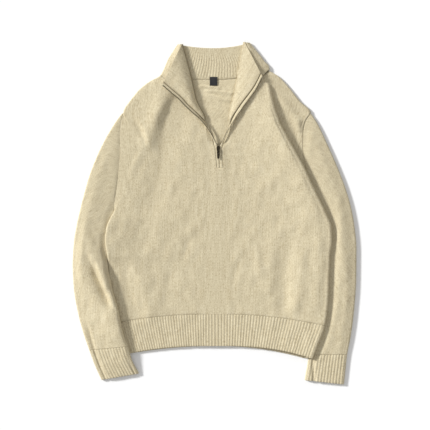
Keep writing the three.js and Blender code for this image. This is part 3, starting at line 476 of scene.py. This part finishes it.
def dip_at_ends(levels):
    """How far a face sinks at its levels, towards the seams at the first and the last one."""
    at = np.array(levels)
    return seam_dip(np.minimum(at - at[0], at[-1] - at))


def ribbed(turns):
    """A rib's wave from 0 to 1, with one rib to a turn."""
    return 0.5 - 0.5 * np.cos(2 * np.pi * turns)


def grid(rows, levels, outer=None, inner=None, flip=False, closed=False, across=None):
    rows = np.asarray(rows, float)
    shape = rows.shape[:2]
    across = lengths_across(rows) if across is None else across
    along = np.broadcast_to(np.asarray(levels, float)[:, None], shape)
    zero = np.zeros(shape)
    return {
        "rows": rows, "outer": zero if outer is None else outer, "inner": zero if inner is None else inner,
        "uv": np.stack([across, along], axis=-1), "flip": flip, "closed": closed,
    }


def wall(name, node, grids, thickness=CLOTH):
    """A cloth of even thickness about grids of points that share their common edges."""

    def joined(key, *shape):
        return np.concatenate([g[key].reshape(-1, *shape) for g in grids])

    places, outer, inner, uv = joined("rows", 3), joined("outer"), joined("inner"), joined("uv", 2)
    _, first, same = np.unique(np.round(places, 3), axis=0, return_index=True, return_inverse=True)
    same = same.reshape(-1)
    corners = []
    offset = 0
    for g in grids:
        r, c = g["rows"].shape[:2]
        ids = np.arange(r * c).reshape(r, c) + offset
        offset += r * c
        after = np.roll(ids, -1, axis=1) if g["closed"] else ids[:, 1:]
        here = ids if g["closed"] else ids[:, :-1]
        faces = np.stack([here[:-1], after[:-1], after[1:], here[1:]], axis=-1).reshape(-1, 4)
        corners.append(faces[:, ::-1] if g["flip"] else faces)
    corners = np.concatenate(corners)
    quads = same[corners]
    middle = places[first]
    count = len(middle)
    normal = np.zeros((count, 3))
    cross = np.cross(middle[quads[:, 2]] - middle[quads[:, 0]], middle[quads[:, 3]] - middle[quads[:, 1]])
    for i in range(4):
        np.add.at(normal, quads[:, i], cross)
    normal /= np.maximum(1e-9, np.linalg.norm(normal, axis=1))[:, None]
    top = middle + normal * (thickness / 2 + outer[first])[:, None]
    bottom = middle - normal * (thickness / 2 + inner[first])[:, None]
    starts = quads.reshape(-1)
    ends = np.roll(quads, -1, axis=1).reshape(-1)
    forward = starts * count + ends
    backward = ends * count + starts
    edge = ~np.isin(forward, backward)
    a, b = starts[edge], ends[edge]
    rim = np.stack([b, a, a + count, b + count], axis=1)
    faces = np.concatenate([quads, quads[:, ::-1] + count, rim])
    rim_uv = np.stack([first[b], first[a], first[a], first[b]], axis=1)
    face_uv = uv[np.concatenate([corners, corners[:, ::-1], rim_uv]).reshape(-1)]
    mesh = mesh_of(name, (np.concatenate([top, bottom]) * MM).tolist(), faces.tolist())
    layer = mesh.uv_layers.new(name="cloth")
    layer.data.foreach_set("uv", (face_uv * MM).astype(np.float32).reshape(-1))
    # painted shade: how deep each point lies in a groove or a seam, which the knit's colour darkens with
    painted_groove_shade = mesh.attributes.new("painted_groove_shade", "FLOAT", "POINT")
    depth = np.concatenate([-outer[first], -inner[first]]) / DEEPEST
    painted_groove_shade.data.foreach_set("value", np.clip(depth, 0, 1).astype(np.float32))
    obj = placed(name, mesh)
    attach(obj, "garment")
    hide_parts(node)
    return obj


# Small unevenness of laid knit: a few seeded waves of different length and direction
random = np.random.default_rng(7)


def unevenness(count, shortest, longest, height):
    angle = random.uniform(0, math.pi, count)
    length = random.uniform(shortest, longest, count)
    phase = random.uniform(0, 2 * math.pi, (count, 2))
    size = height * random.uniform(0.5, 1.0, count) / math.sqrt(count)

    def rise(x, y):
        total = np.zeros_like(x)
        for a, l, p, h in zip(angle, length, phase, size):
            u = (x * math.cos(a) + y * math.sin(a)) * 2 * math.pi / l
            v = (y * math.cos(a) - x * math.sin(a)) * 2 * math.pi / (l * 2.7)
            total += h * np.sin(u + p[0] + 1.3 * np.sin(v + p[1]))
        return total

    return rise


front_uneven = unevenness(14, 18, 60, 0.6)
lapel_uneven = unevenness(8, 14, 30, 0.3)


def front_faces(side, levels, across, cells, dip):
    """How far the two faces of a front sink: at the seams, beside the zip's band, along the turned roll's
    edge, where the sinking also paints shade.
    """
    head = cells["lapel"] + cells["roll"]
    edge = across[:, cells["lapel"] + cells["roll"] // 4][:, None]
    beyond = smooth((np.arange(across.shape[1]) - head) / 4)
    opened = smooth((np.array(levels) - LEVEL["slider"]) / 20)
    # painted shade: the sinking beside the band and at the roll's edge also darkens the colour there
    groove = seam_dip(across - BAND, DEEPEST, 2.0) + seam_dip(across - edge, side["roll_dip_and_shade"], 2.2)
    return dip[:, None] * beyond[None, :], groove * opened[:, None]


def front_grids(levels, cells, ribs=0):
    """Both halves of the front, which meet along the middle wherever the zip doesn't part them."""
    grids = []
    for side in (LEFT, RIGHT):
        rows = np.array([front_row(side, level, cells) for level in levels])
        across = lengths_across(rows, BAND)
        outer, inner = front_faces(side, levels, across, cells, dip_at_ends(levels))
        if ribs:
            head = cells["lapel"] + cells["roll"]
            j = np.arange(rows.shape[1]) - head
            turns = np.where(j > 0, ribs * j / cells["front"], MIDDLE_RIBS * j / head)
            outer = outer + np.where(j <= cells["front"], (ribbed(turns) - 0.35) * RIB_RAISE, 0)[None, :]
        flip = side is LEFT
        below = sum(level <= LEVEL["zip_end"] for level in levels)
        grids.append(grid(rows, levels, outer=outer, inner=inner, flip=flip, across=across))
        if below > 1:
            shares = np.arange(STRIP_CELLS + 1) / STRIP_CELLS
            strip = np.array([
                [mix(zip_edges(side, level)[2], rows[r, 0], t) for t in shares]
                for r, level in enumerate(levels[:below])
            ])
            outer = np.zeros(strip.shape[:2])
            if ribs:
                outer += (ribbed(1 - shares) - 0.35)[None, :] * RIB_RAISE
            strip_across = np.repeat([shares * BAND], below, axis=0)
            grids.append(grid(strip, levels[:below], outer=outer, flip=flip, across=strip_across))
    return grids


PANEL_LEVELS = levels_between(LEVEL["hem_seam"] + 0.05, LEVEL["neck"] - 0.05, 4.2, (
    110, 155, 185, 200, 218, 254, 286, 305, 318, 333, 350, 390, 427, 470, 494, 512, 526, 530, 548, 572, 596,
))
front_panel = wall("sweater_front", "front_panel", front_grids(PANEL_LEVELS, FRONT_CELLS))

HEM_LEVELS = levels_between(LEVEL["hem"], LEVEL["hem_seam"] - 0.05, 4, (30,))
HEM_CELLS = {**FRONT_CELLS, "front": HEM_RIBS * 6, "lapel": 8, "roll": 4}
hem_front = wall("sweater_hem_front", "hem_front", front_grids(HEM_LEVELS, HEM_CELLS, HEM_RIBS))


def back_row(level, count, inset=0.1):
    left, right = sample(SIDE_LEFT, level), sample(SIDE_RIGHT, level)
    middle = sample(BACK_MIDDLE, level)["y"]
    k = np.arange(count + 1) / count
    side_y = np.where(k < 0.5, left["seam_y"], right["seam_y"])
    x = mix(left["seam_x"] + inset, right["seam_x"] - inset, k)
    return points(x, mix(middle, side_y, (2 * k - 1) ** 2), REST)


# Wrinkles of the back where it shows below the label
BACK_CREASES = [
    (-50, 305, 12, 299, -3, 2, 6, 2),
    (-24, 295, 48, 286, -2, 1.8, 6, 2.4),
    (-18, 285, 32, 271, -2, 2, 6, 2),
    (2, 279, 46, 268, 1, 2, 5, 1.6),
    (-34, 262, 14, 238, 2, 5, 9, 1.2),
]
back_uneven = unevenness(6, 14, 40, 0.25)


def roll_at(side, y):
    """Where the turned edge of one front lies, at places up the garment."""
    return np.interp(y, side["opening"]["roll_y"], side["opening"]["roll_x"])


def back_grid(levels, count, ribs=0):
    rows = np.array([back_row(level, count) for level in levels])
    x, y = rows[..., 0], rows[..., 1]
    near = smooth((310 - y) / 6) * smooth((y - 150) / 30)
    near *= smooth((x - roll_at(LEFT, y)) / 9) * smooth((roll_at(RIGHT, y) - x) / 9)
    rows[..., 2] += near * np.clip(creases(BACK_CREASES, x, y) + back_uneven(x, y) + 0.3, 0, 3)
    inner = np.repeat(dip_at_ends(levels)[:, None], count + 1, axis=1)
    if ribs:
        inner = inner + ribbed(ribs * np.arange(count + 1) / count)[None, :] * RIB_RAISE * 0.6
    return grid(rows, levels, inner=inner, flip=True)


BACK_LEVELS = [
    *[level for level in PANEL_LEVELS if level < 546],
    *levels_between(548, LEVEL["neck"] - 0.05, 1.5),
]
back_panel = wall("sweater_back", "back_panel", [back_grid(BACK_LEVELS, 180)])
hem_back = wall("sweater_hem_back", "hem_back", [back_grid(HEM_LEVELS, 240, 40)])


# Collar: turned front, roll, front, side, ribbed back, and the same again
def collar_grids():
    levels = levels_between(LEVEL["neck"] + 0.05, LEVEL["top"], 3.6, (648,))
    cells = {**FRONT_CELLS, "front": 30}
    dip = seam_dip(np.array(levels) - levels[0])
    grids = []
    for side in (LEFT, RIGHT):
        rows = np.array([front_row(side, level, cells) for level in levels])
        across = lengths_across(rows, BAND)
        outer, inner = front_faces(side, levels, across, cells, dip)
        grids.append(grid(rows, levels, outer=outer, inner=inner, flip=side is LEFT, across=across))
    count = COLLAR_RIBS * 10
    back = np.array([back_row(level, count, 0) for level in levels])
    back[:, 0], back[:, -1] = grids[0]["rows"][:, -1], grids[1]["rows"][:, -1]
    wave = ribbed(COLLAR_RIBS * np.arange(count + 1) / count) ** 0.8
    fade = smooth((np.array(levels) - levels[0]) / 5) * mix(
        1, 0.35, smooth((np.array(levels) - (LEVEL["top"] - 22)) / 6))
    inner = fade[:, None] * wave[None, :] * 0.55 + dip[:, None]
    grids.append(grid(back, levels, inner=inner, flip=True))
    return grids


collar = wall("sweater_collar", "collar", collar_grids())


# Sleeves
def armhole(side, k):
    s = sample(side["edge"], mix(LEVEL["armhole"], side["underarm"], k))
    gap = ARMHOLE_GAP + UNDERARM_GAP * k ** 6
    return s["seam_x"] + side["sign"] * gap, s["seam_y"]


ARC = 6
STATION = 43.5  # length of cloth from one station to the next
TOP_CELLS = 36
FLOOR_CELLS = 12
sleeve_uneven = unevenness(12, 18, 50, 0.55)


def sleeve_ring(side, rows, station, top_cells=TOP_CELLS):
    """A section of a sleeve: along the surface, up the inner edge, back over the top."""
    r = sample(rows, station)
    width = math.hypot(r["in_x"] - r["out_x"], r["in_y"] - r["out_y"])
    in_radius, out_radius = (r["in_top"] - r["in_floor"]) / 2, (r["out_top"] - REST) / 2
    k_out, k_in = out_radius / width, 1 - in_radius / width
    follow = min(1.0, max(0.0, r["follow"]))
    turn = np.pi * np.arange(1, ARC) / ARC
    k_floor = mix(k_out, k_in, np.arange(FLOOR_CELLS + 1) / FLOOR_CELLS)
    k_top = mix(k_in, k_out, np.arange(top_cells + 1) / top_cells)
    k = np.concatenate([
        k_floor, k_in + in_radius / width * np.sin(turn), k_top, k_out - k_out * np.sin(turn),
    ])
    x, y = mix(r["out_x"], r["in_x"], k), mix(r["out_y"], r["in_y"], k)
    if follow:
        hole = np.array([armhole(side, min(1.0, max(0.0, v))) for v in k])
        x, y = mix(x, hole[:, 0], follow), mix(y, hole[:, 1], follow)
    on_top = np.zeros(len(k), bool)
    on_top[FLOOR_CELLS + ARC:FLOOR_CELLS + ARC + top_cells + 1] = True
    window = smooth((1 - k) / 0.1) * smooth(k / 0.1) * (1 - follow)
    swell = r["puff"] * smooth(k / 0.25) * smooth((r["cover"] - k) / 0.25)
    uncovered = smooth((r["cover"] - k) / 0.2)
    top = (mix(r["out_top"], r["in_top"], smooth(k)) + swell
           + window * (creases(SLEEVE_CREASES, x, y) + uncovered * sleeve_uneven(x, y)))
    under = mix(REST, r["in_floor"], smooth((k - 0.72) / 0.2))
    top = mix(top, kept_above(top, under + CLOTH + 0.2), window)
    z = np.concatenate([
        under[:FLOOR_CELLS + 1],
        r["in_floor"] + in_radius * (1 - np.cos(turn)),
        top[on_top],
        REST + out_radius * (1 + np.cos(turn)),
    ])
    return points(x, y, z), on_top


def sleeve_grid(side, rows, first, last, ribs=0):
    count = max(2, round((last - first) * 44 / 4))
    stations = [first + (last - first) * i / count for i in range(count + 1)]
    stations = [stations[0], stations[0] + 0.03, *stations[1:-1], stations[-1] - 0.03, stations[-1]]
    top_cells = ribs * 8 if ribs else TOP_CELLS
    rings = [sleeve_ring(side, rows, s, top_cells) for s in stations]
    places = np.array([ring[0] for ring in rings])
    on_top = rings[0][1]
    ends = np.minimum(np.array(stations) - stations[0], stations[-1] - np.array(stations)) * 40
    dip = seam_dip(ends, 0.45 if ribs else 0.25)
    outer = np.repeat(dip[:, None], places.shape[1], axis=1) * on_top[None, :]
    if ribs:
        wave = np.zeros(places.shape[1])
        wave[on_top] = ribbed(ribs * np.arange(top_cells + 1) / top_cells)
        outer = outer + (wave - 0.35 * on_top)[None, :] * RIB_RAISE
    return grid(places, np.array(stations) * STATION, outer=outer, flip=side is RIGHT, closed=True)


def tube(node, side, rows, first, last, ribs=0):
    """A sleeve or a cuff, from one station to another."""
    return wall("sweater_" + node, node, [sleeve_grid(side, rows, first, last, ribs)])


sleeve_left = tube("sleeve_left", LEFT, SLEEVE_LEFT, 0, CUFF_LEFT - ABOVE_SEAM)
sleeve_right = tube("sleeve_right", RIGHT, SLEEVE_RIGHT, 0, CUFF_RIGHT - ABOVE_SEAM)
cuff_left = tube("cuff_left", LEFT, SLEEVE_LEFT, CUFF_LEFT + BELOW_SEAM, END_LEFT, CUFF_RIBS)
cuff_right = tube("cuff_right", RIGHT, SLEEVE_RIGHT, CUFF_RIGHT + BELOW_SEAM, END_RIGHT, CUFF_RIBS)


# Zip: knitted bands, teeth
BAND_LEVELS = levels_between(LEVEL["zip_end"] + 0.1, LEVEL["top"], 3)


def zip_band(name, side, node):
    rows = []
    for level in BAND_LEVELS:
        _, opened, free, sewn = zip_edges(side, level)
        corner = BAND_CORNER * math.sin(math.pi * opened)
        clear = 0.3 / BAND
        rows.append([mix(sewn, free, t) for t in np.linspace(1 - clear / 2, clear + corner / BAND, 7)])
    k = np.linspace(0, 1, 7)
    swell = np.repeat((0.75 * np.sin(np.pi * k) ** 0.7 - 0.5)[None, :], len(rows), axis=0)
    strip = grid(rows, BAND_LEVELS, outer=swell, inner=swell, flip=side is LEFT)
    return wall(name, node, [strip], BAND_THICK)


def add_rings(verts, faces, rings):
    """Adds a closed form through rings of equally many points in millimetres, with flat ends."""
    base, n = len(verts), len(rings[0])
    verts += [tuple(point * MM) for ring in rings for point in ring]
    for low in range(base, base + n * (len(rings) - 1), n):
        for i in range(n):
            j = (i + 1) % n
            faces.append((low + i, low + j, low + n + j, low + n + i))
    faces.append(tuple(range(base + n - 1, base - 1, -1)))
    faces.append(tuple(range(len(verts) - n, len(verts))))


def zip_teeth(name, side, node):
    """The metal teeth of one side, a small block each, set square to the chain."""
    fine = np.arange(LEVEL["zip_end"] + 2, LEVEL["top"] - 1, 0.5)
    line = np.array([zip_edges(side, level)[2] for level in fine])
    run = lengths_across(line[None])[0]
    shift = 0 if side is LEFT else TEETH["pitch"] / 2
    verts, faces = [], []
    for distance in np.arange(1 + shift, run[-1] - 1, TEETH["pitch"]):
        level = float(np.interp(distance, run, fine))
        _, _, free, sewn = zip_edges(side, level)
        before, after = zip_edges(side, level - 1)[2], zip_edges(side, min(level + 1, LEVEL["top"]))[2]
        along = Vector(after - before).normalized()
        outwards = Vector(sewn - free).normalized()
        inner = (outwards.cross(along) * -side["sign"]).normalized()
        outwards = along.cross(inner).normalized() * (1 if along.cross(inner).dot(outwards) > 0 else -1)
        low = BAND_THICK / 2 + TEETH["gap"]
        start = Vector(free) + outwards * TEETH["from_edge"]
        w, l = TEETH["width"] / 2, TEETH["length"] / 2
        add_rings(verts, faces, [
            [start + outwards * (sw * w * kw) + along * (sl * l * kl) + inner * (low + up)
             for sw, sl in ((-1, -1), (1, -1), (1, 1), (-1, 1))]
            for up, kw, kl in ((0, 1, 1), (TEETH["height"] * 0.7, 1, 1), (TEETH["height"], 0.72, 0.6))
        ])
    mesh = mesh_of(name, verts, faces, soft=False)
    mesh.update()
    obj = placed(name, mesh)
    form = bmesh.new()
    form.from_mesh(mesh)
    bmesh.ops.recalc_face_normals(form, faces=form.faces)
    form.to_mesh(mesh)
    form.free()
    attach(obj, "garment")
    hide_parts(node)
    return obj


band_left = zip_band("zip_band_knit_left", LEFT, "zip_band_left")
band_right = zip_band("zip_band_knit_right", RIGHT, "zip_band_right")
teeth_left = zip_teeth("zip_chain_left", LEFT, "zip_teeth_left")
teeth_right = zip_teeth("zip_chain_right", RIGHT, "zip_teeth_right")


# Label: a bare woven ribbon on the neck seam
def label_rise(x, v):
    """Height of the label's underside: it swells a little and waves."""
    return LABEL["foot"] + 0.5 * np.sin(np.pi * v) + 0.15 * np.sin(x * 0.5 + v * 3)


def label():
    v = np.linspace(0, 1, 29)[:, None]
    x = LABEL["x"] + LABEL["width"] * (np.linspace(0, 1, 25) - 0.5)
    places = points(x, LABEL["y"] + LABEL["height"] * (v - 0.5), label_rise(x, v) + LABEL["thick"] / 2)
    ribbon = grid(places, v[:, 0] * LABEL["height"])
    return wall("neck_label_woven", "neck_label", [ribbon], LABEL["thick"])


neck_label = label()


# Sewing: rows of short thread stitches, each a rod of six sides that narrows to its ends
STITCH_RINGS = [(-1, 0.35, -0.3), (-0.5, 0.9, 0.1), (0, 1, 0.2), (0.5, 0.9, 0.1), (1, 0.35, -0.3)]


def stitches(name, line):
    """Short stitches, one behind the other, along a line of points in millimetres."""
    run = lengths_across(line[None])[0]
    at = [np.array([np.interp(d, run, line[:, i]) for i in range(3)])
          for d in np.arange(0, run[-1], STITCH["pitch"] / 2)]
    up = np.array([0, 0, 1])
    verts, faces = [], []
    for a, b in zip(at[::2], at[1::2]):
        reach = (b - a) / np.linalg.norm(b - a) * STITCH["length"] / 2
        side = np.cross(reach, up)
        side = side / np.linalg.norm(side)
        ring = [side * math.cos(turn) + up * math.sin(turn) for turn in np.arange(6) * math.pi / 3]
        add_rings(verts, faces, [
            [a + reach * along + STITCH["radius"] * (size * p + up * lift) for p in ring]
            for along, size, lift in STITCH_RINGS
        ])
    obj = placed(name, mesh_of(name, verts, faces))
    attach(obj, "garment")
    return obj


def lapel_line(side, inwards):
    """A line on the turned front, this far from the zip's edge."""
    line = []
    for level in np.arange(508, LEVEL["top"] - 1, 3):
        row = front_row(side, level, FRONT_CELLS)[:FRONT_CELLS["lapel"]]
        run = lengths_across(row[None], BAND)[0]
        line.append([np.interp(inwards, run, row[:, i]) for i in range(3)])
    return np.array(line) + [0, 0, CLOTH / 2 + 0.1]


def neck_line():
    """Along the neck seam, on the inside of the back."""
    x = np.arange(-108, 108, 2.0)
    row = back_row(LEVEL["neck"] + 1.6, 60)
    return points(x, np.interp(x, row[:, 0], row[:, 1]), REST + CLOTH / 2 + 0.1)


def label_line(share):
    """Down one side of the label."""
    v = np.linspace(0.04, 0.96, 12)
    x = LABEL["x"] + LABEL["width"] * share
    z = label_rise(x, v) + LABEL["thick"] + 0.1
    return points(x, LABEL["y"] + LABEL["height"] * (v - 0.5), z)


sewing = [
    stitches("stitches_zip_left", lapel_line(LEFT, 11)),
    stitches("stitches_zip_right", lapel_line(RIGHT, 11)),
    stitches("stitches_neck_seam", neck_line()),
]
label_sewing = [
    stitches("stitches_label_left", label_line(-0.44)),
    stitches("stitches_label_right", label_line(0.44)),
]


# Slider and pull tab: the CAD forms with their edges softened
def softened(name, node, body, width):
    obj = placed(name, frame["nodes"][node].data.copy())
    for other in scene.objects:
        other.select_set(False)
    obj.select_set(True)
    bpy.context.view_layer.objects.active = obj
    form = bmesh.new()
    form.from_mesh(obj.data)
    bmesh.ops.remove_doubles(form, verts=form.verts, dist=1e-6)
    bmesh.ops.dissolve_limit(form, angle_limit=math.radians(3), verts=form.verts, edges=form.edges)
    form.to_mesh(obj.data)
    form.free()
    bevel = obj.modifiers.new("bevel", "BEVEL")
    bevel.width = width * MM
    bevel.segments = 3
    bevel.limit_method = "ANGLE"
    bevel.angle_limit = math.radians(30)
    bpy.ops.object.modifier_apply(modifier="bevel")
    obj.data.materials.clear()
    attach(obj, body)
    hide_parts(node)
    return obj


slider = softened("zip_slider_cast", "zip_slider", "garment", 0.35)
pull = softened("zip_pull_cast", "zip_pull", "pull", 0.25)


# Materials
def linear(red, green, blue):
    """A colour as it shows on a screen, as linear light."""
    steps = (c / 12.92 if c <= 0.04045 else ((c + 0.055) / 1.055) ** 2.4 for c in (red, green, blue))
    return (*steps, 1.0)


class Nodes:
    def __init__(self, name):
        self.material = bpy.data.materials.new(name)
        self.material.use_nodes = True
        self.tree = self.material.node_tree
        self.tree.nodes.clear()

    def add(self, kind, **settings):
        node = self.tree.nodes.new(kind)
        for key, value in settings.items():
            setattr(node, key, value)
        return node

    def link(self, a, b):
        self.tree.links.new(a, b)

    def math(self, operation, a, b=None):
        node = self.add("ShaderNodeMath", operation=operation)
        for socket, value in zip(node.inputs, (a, b)):
            if value is None:
                continue
            if isinstance(value, (int, float)):
                socket.default_value = value
            else:
                self.link(value, socket)
        return node.outputs[0]

    def noise(self, vector, scale, detail=2.0, roughness=0.5):
        node = self.add("ShaderNodeTexNoise")
        node.inputs["Scale"].default_value = scale
        node.inputs["Detail"].default_value = detail
        node.inputs["Roughness"].default_value = roughness
        self.link(vector, node.inputs["Vector"])
        return node.outputs["Fac"]

    def ramp(self, value, stops):
        node = self.add("ShaderNodeValToRGB")
        ramp = node.color_ramp
        while len(ramp.elements) < len(stops):
            ramp.elements.new(0.5)
        for element, (place, colour) in zip(ramp.elements, stops):
            element.position = place
            element.color = colour
        self.link(value, node.inputs["Fac"])
        return node.outputs["Color"]

    def object_place(self):
        return self.add("ShaderNodeTexCoord").outputs["Object"]

    def cloth_place(self):
        uv = self.add("ShaderNodeUVMap", uv_map="cloth").outputs["UV"]
        split = self.add("ShaderNodeSeparateXYZ")
        self.link(uv, split.inputs[0])
        return uv, split.outputs["X"], split.outputs["Y"]

    def stretched(self, vector, along):
        """A place for noise that runs long down the cloth."""
        node = self.add("ShaderNodeMapping")
        node.inputs["Scale"].default_value = (1.0, along, 1.0)
        self.link(vector, node.inputs["Vector"])
        return node.outputs["Vector"]

    def bump(self, height, strength, distance):
        node = self.add("ShaderNodeBump")
        node.inputs["Strength"].default_value = strength
        node.inputs["Distance"].default_value = distance * MM
        self.link(height, node.inputs["Height"])
        return node.outputs["Normal"]

    def finish(self, colour, settings, normal=None):
        """The material with this colour, the shader's other numbers, and a bumped normal or none."""
        shader = self.add("ShaderNodeBsdfPrincipled")
        if isinstance(colour, tuple):
            shader.inputs["Base Color"].default_value = colour
        else:
            self.link(colour, shader.inputs["Base Color"])
        for socket, value in settings.items():
            shader.inputs[socket].default_value = value
        if normal is not None:
            self.link(normal, shader.inputs["Normal"])
        self.link(shader.outputs[0], self.add("ShaderNodeOutputMaterial").inputs["Surface"])
        return self.material


def knit_material(name, light, mid, dark, wale=2.3, course=1.9, bump=0.55):
    """Heathered wool: stitches in columns along the cloth, flecks of three shades, a soft nap."""
    m = Nodes(name)
    uv, across, along = m.cloth_place()
    place = m.object_place()
    # stitches: each column is a row of small V shapes
    u = m.math("DIVIDE", across, wale * MM)
    v = m.math("DIVIDE", along, course * MM)
    spread = m.math("ABSOLUTE", m.math("SUBTRACT", m.math("FRACT", u), 0.5))
    doubled = m.math("MULTIPLY", spread, 2.0)
    slant = m.math("ADD", v, m.math("MULTIPLY", spread, 1.1))
    yarn = m.math("SINE", m.math("MULTIPLY", slant, 2 * math.pi))
    column = m.math("SUBTRACT", 1.0, m.math("POWER", doubled, 2.5))
    centre = m.math("MULTIPLY", m.math("POWER", m.math("SUBTRACT", 1.0, doubled), 6.0), -0.35)
    height = m.math("ADD", m.math("ADD", column, centre), m.math("MULTIPLY", yarn, 0.22))
    height = m.math("ADD", height, m.math("MULTIPLY", m.noise(place, 1400, 3, 0.7), 0.9))
    # heather: long flecks that follow the yarn, broad clouds, and streaks down the columns
    fleck = m.noise(m.stretched(uv, 0.45), 520, 3, 0.65)
    broad = m.noise(place, 95, 3, 0.6)
    streak = m.noise(m.stretched(uv, 0.06), 330, 2, 0.6)
    shade = m.math("ADD", m.math("MULTIPLY", fleck, 0.6), m.math("MULTIPLY", broad, 0.12))
    shade = m.math("ADD", shade, m.math("MULTIPLY", streak, 0.28))
    # painted shade: a little darker between the stitch columns, lighter on their crests
    shade = m.math("ADD", shade, m.math("MULTIPLY", m.math("SUBTRACT", column, 0.6), 0.05))
    colour = m.ramp(shade, [(0.34, dark), (0.5, mid), (0.66, light)])
    # painted shade: grooves and seams darken with their depth, mixed towards a dark umber
    painted_groove_shade = m.add("ShaderNodeAttribute", attribute_name="painted_groove_shade").outputs["Fac"]
    shaded = m.add("ShaderNodeMix", data_type="RGBA")
    m.link(m.math("MULTIPLY", painted_groove_shade, 0.75), shaded.inputs[0])
    m.link(colour, shaded.inputs[6])
    shaded.inputs[7].default_value = linear(0.3, 0.25, 0.17)
    return m.finish(shaded.outputs[2], {
        "Roughness": 0.95, "Specular IOR Level": 0.12, "Sheen Weight": 0.16, "Sheen Roughness": 0.55,
        "Sheen Tint": linear(0.95, 0.9, 0.78),
    }, m.bump(height, bump, 0.5))


def metal_material():
    """Dark aged brass with lighter worn spots."""
    m = Nodes("aged_brass")
    place = m.object_place()
    colour = m.ramp(m.noise(place, 900, 4, 0.6), [
        (0.3, linear(0.15, 0.13, 0.1)), (0.6, linear(0.3, 0.27, 0.21)), (0.8, linear(0.46, 0.41, 0.32)),
    ])
    return m.finish(colour, {"Metallic": 0.9, "Roughness": 0.42}, m.bump(m.noise(place, 2500, 3), 0.25, 0.1))


def thread_material(name, colour):
    """Twisted sewing thread."""
    m = Nodes(name)
    darker = tuple(0.7 * c for c in colour[:3]) + (1.0,)
    shade = m.ramp(m.noise(m.object_place(), 2600, 2), [(0.3, darker), (0.7, colour)])
    return m.finish(shade, {"Roughness": 0.7})


def ribbon_material():
    """Black ribbon in a plain weave."""
    m = Nodes("black_ribbon")
    _, across, along = m.cloth_place()
    warp = m.math("SINE", m.math("MULTIPLY", across, 2 * math.pi / (0.5 * MM)))
    weft = m.math("SINE", m.math("MULTIPLY", along, 2 * math.pi / (0.35 * MM)))
    weave = m.math("MULTIPLY", warp, weft)
    colour = m.ramp(m.math("ADD", m.math("MULTIPLY", weave, 0.2), 0.5),
                    [(0.2, linear(0.07, 0.07, 0.075)), (0.8, linear(0.13, 0.13, 0.14))])
    return m.finish(colour, {"Roughness": 0.75, "Sheen Weight": 0.1}, m.bump(weave, 0.4, 0.1))


PALE, OAT, UMBER = linear(0.86, 0.82, 0.71), linear(0.79, 0.742, 0.622), linear(0.66, 0.6, 0.475)
KNIT = knit_material("heathered_knit", PALE, OAT, UMBER)
# a lighter copy of the knit for the back's inside: painted light that lifts it where the fronts and the
# collar shade it
KNIT_PAINTED_LIGHTER = knit_material(
    "heathered_knit_painted_lighter", linear(0.89, 0.85, 0.735), linear(0.82, 0.77, 0.645), linear(0.69, 0.63, 0.5),
)
RIB = knit_material("heathered_rib", PALE, OAT, UMBER, wale=2.4, bump=0.5)
METAL = metal_material()
RIBBON = ribbon_material()
THREAD = thread_material("wool_thread", linear(0.72, 0.66, 0.53))
BLACK_THREAD = thread_material("black_thread", linear(0.2, 0.2, 0.21))

for obj, material in [
    *[(o, KNIT) for o in (front_panel, sleeve_left, sleeve_right)],
    (back_panel, KNIT_PAINTED_LIGHTER),
    *[(o, RIB) for o in (collar, hem_front, hem_back, cuff_left, cuff_right, band_left, band_right)],
    *[(o, METAL) for o in (teeth_left, teeth_right, slider, pull)],
    (neck_label, RIBBON),
    *[(o, THREAD) for o in sewing],
    *[(o, BLACK_THREAD) for o in label_sewing],
]:
    obj.data.materials.clear()
    obj.data.materials.append(material)

# Floor
FLOOR_HALF = 3.0
corners = [(x * FLOOR_HALF, y * FLOOR_HALF, 0) for x, y in ((-1, -1), (1, -1), (1, 1), (-1, 1))]
floor = placed("floor", mesh_of("floor", corners, [(0, 1, 2, 3)], soft=False))
floor.data.materials.append(Nodes("paper").finish((0.9, 0.9, 0.9, 1), {
    "Roughness": 0.9, "Specular IOR Level": 0.1,
}))

# A large soft light, low on the left, and an even fill
KEY_ELEVATION, KEY_SIDE, KEY_SOFTNESS = math.radians(26), math.radians(26), math.radians(9)
KEY_POWER, FILL = 4.18, 0.56
key_data = bpy.data.lights.new("key", "SUN")
key_data.energy = KEY_POWER
key_data.angle = KEY_SOFTNESS
key = placed("key", key_data)
towards = Vector((
    -math.cos(KEY_ELEVATION) * math.cos(KEY_SIDE),
    math.cos(KEY_ELEVATION) * math.sin(KEY_SIDE),
    math.sin(KEY_ELEVATION),
))
key.location = towards * 3
key.rotation_euler = towards.to_track_quat("Z", "Y").to_euler()
world = bpy.data.worlds.new("studio")
world.use_nodes = True
background = world.node_tree.nodes["Background"]
background.inputs["Color"].default_value = (1, 1, 1, 1)
background.inputs["Strength"].default_value = FILL
scene.world = world
scene.view_settings.view_transform = "Standard"
scene.view_settings.look = "None"
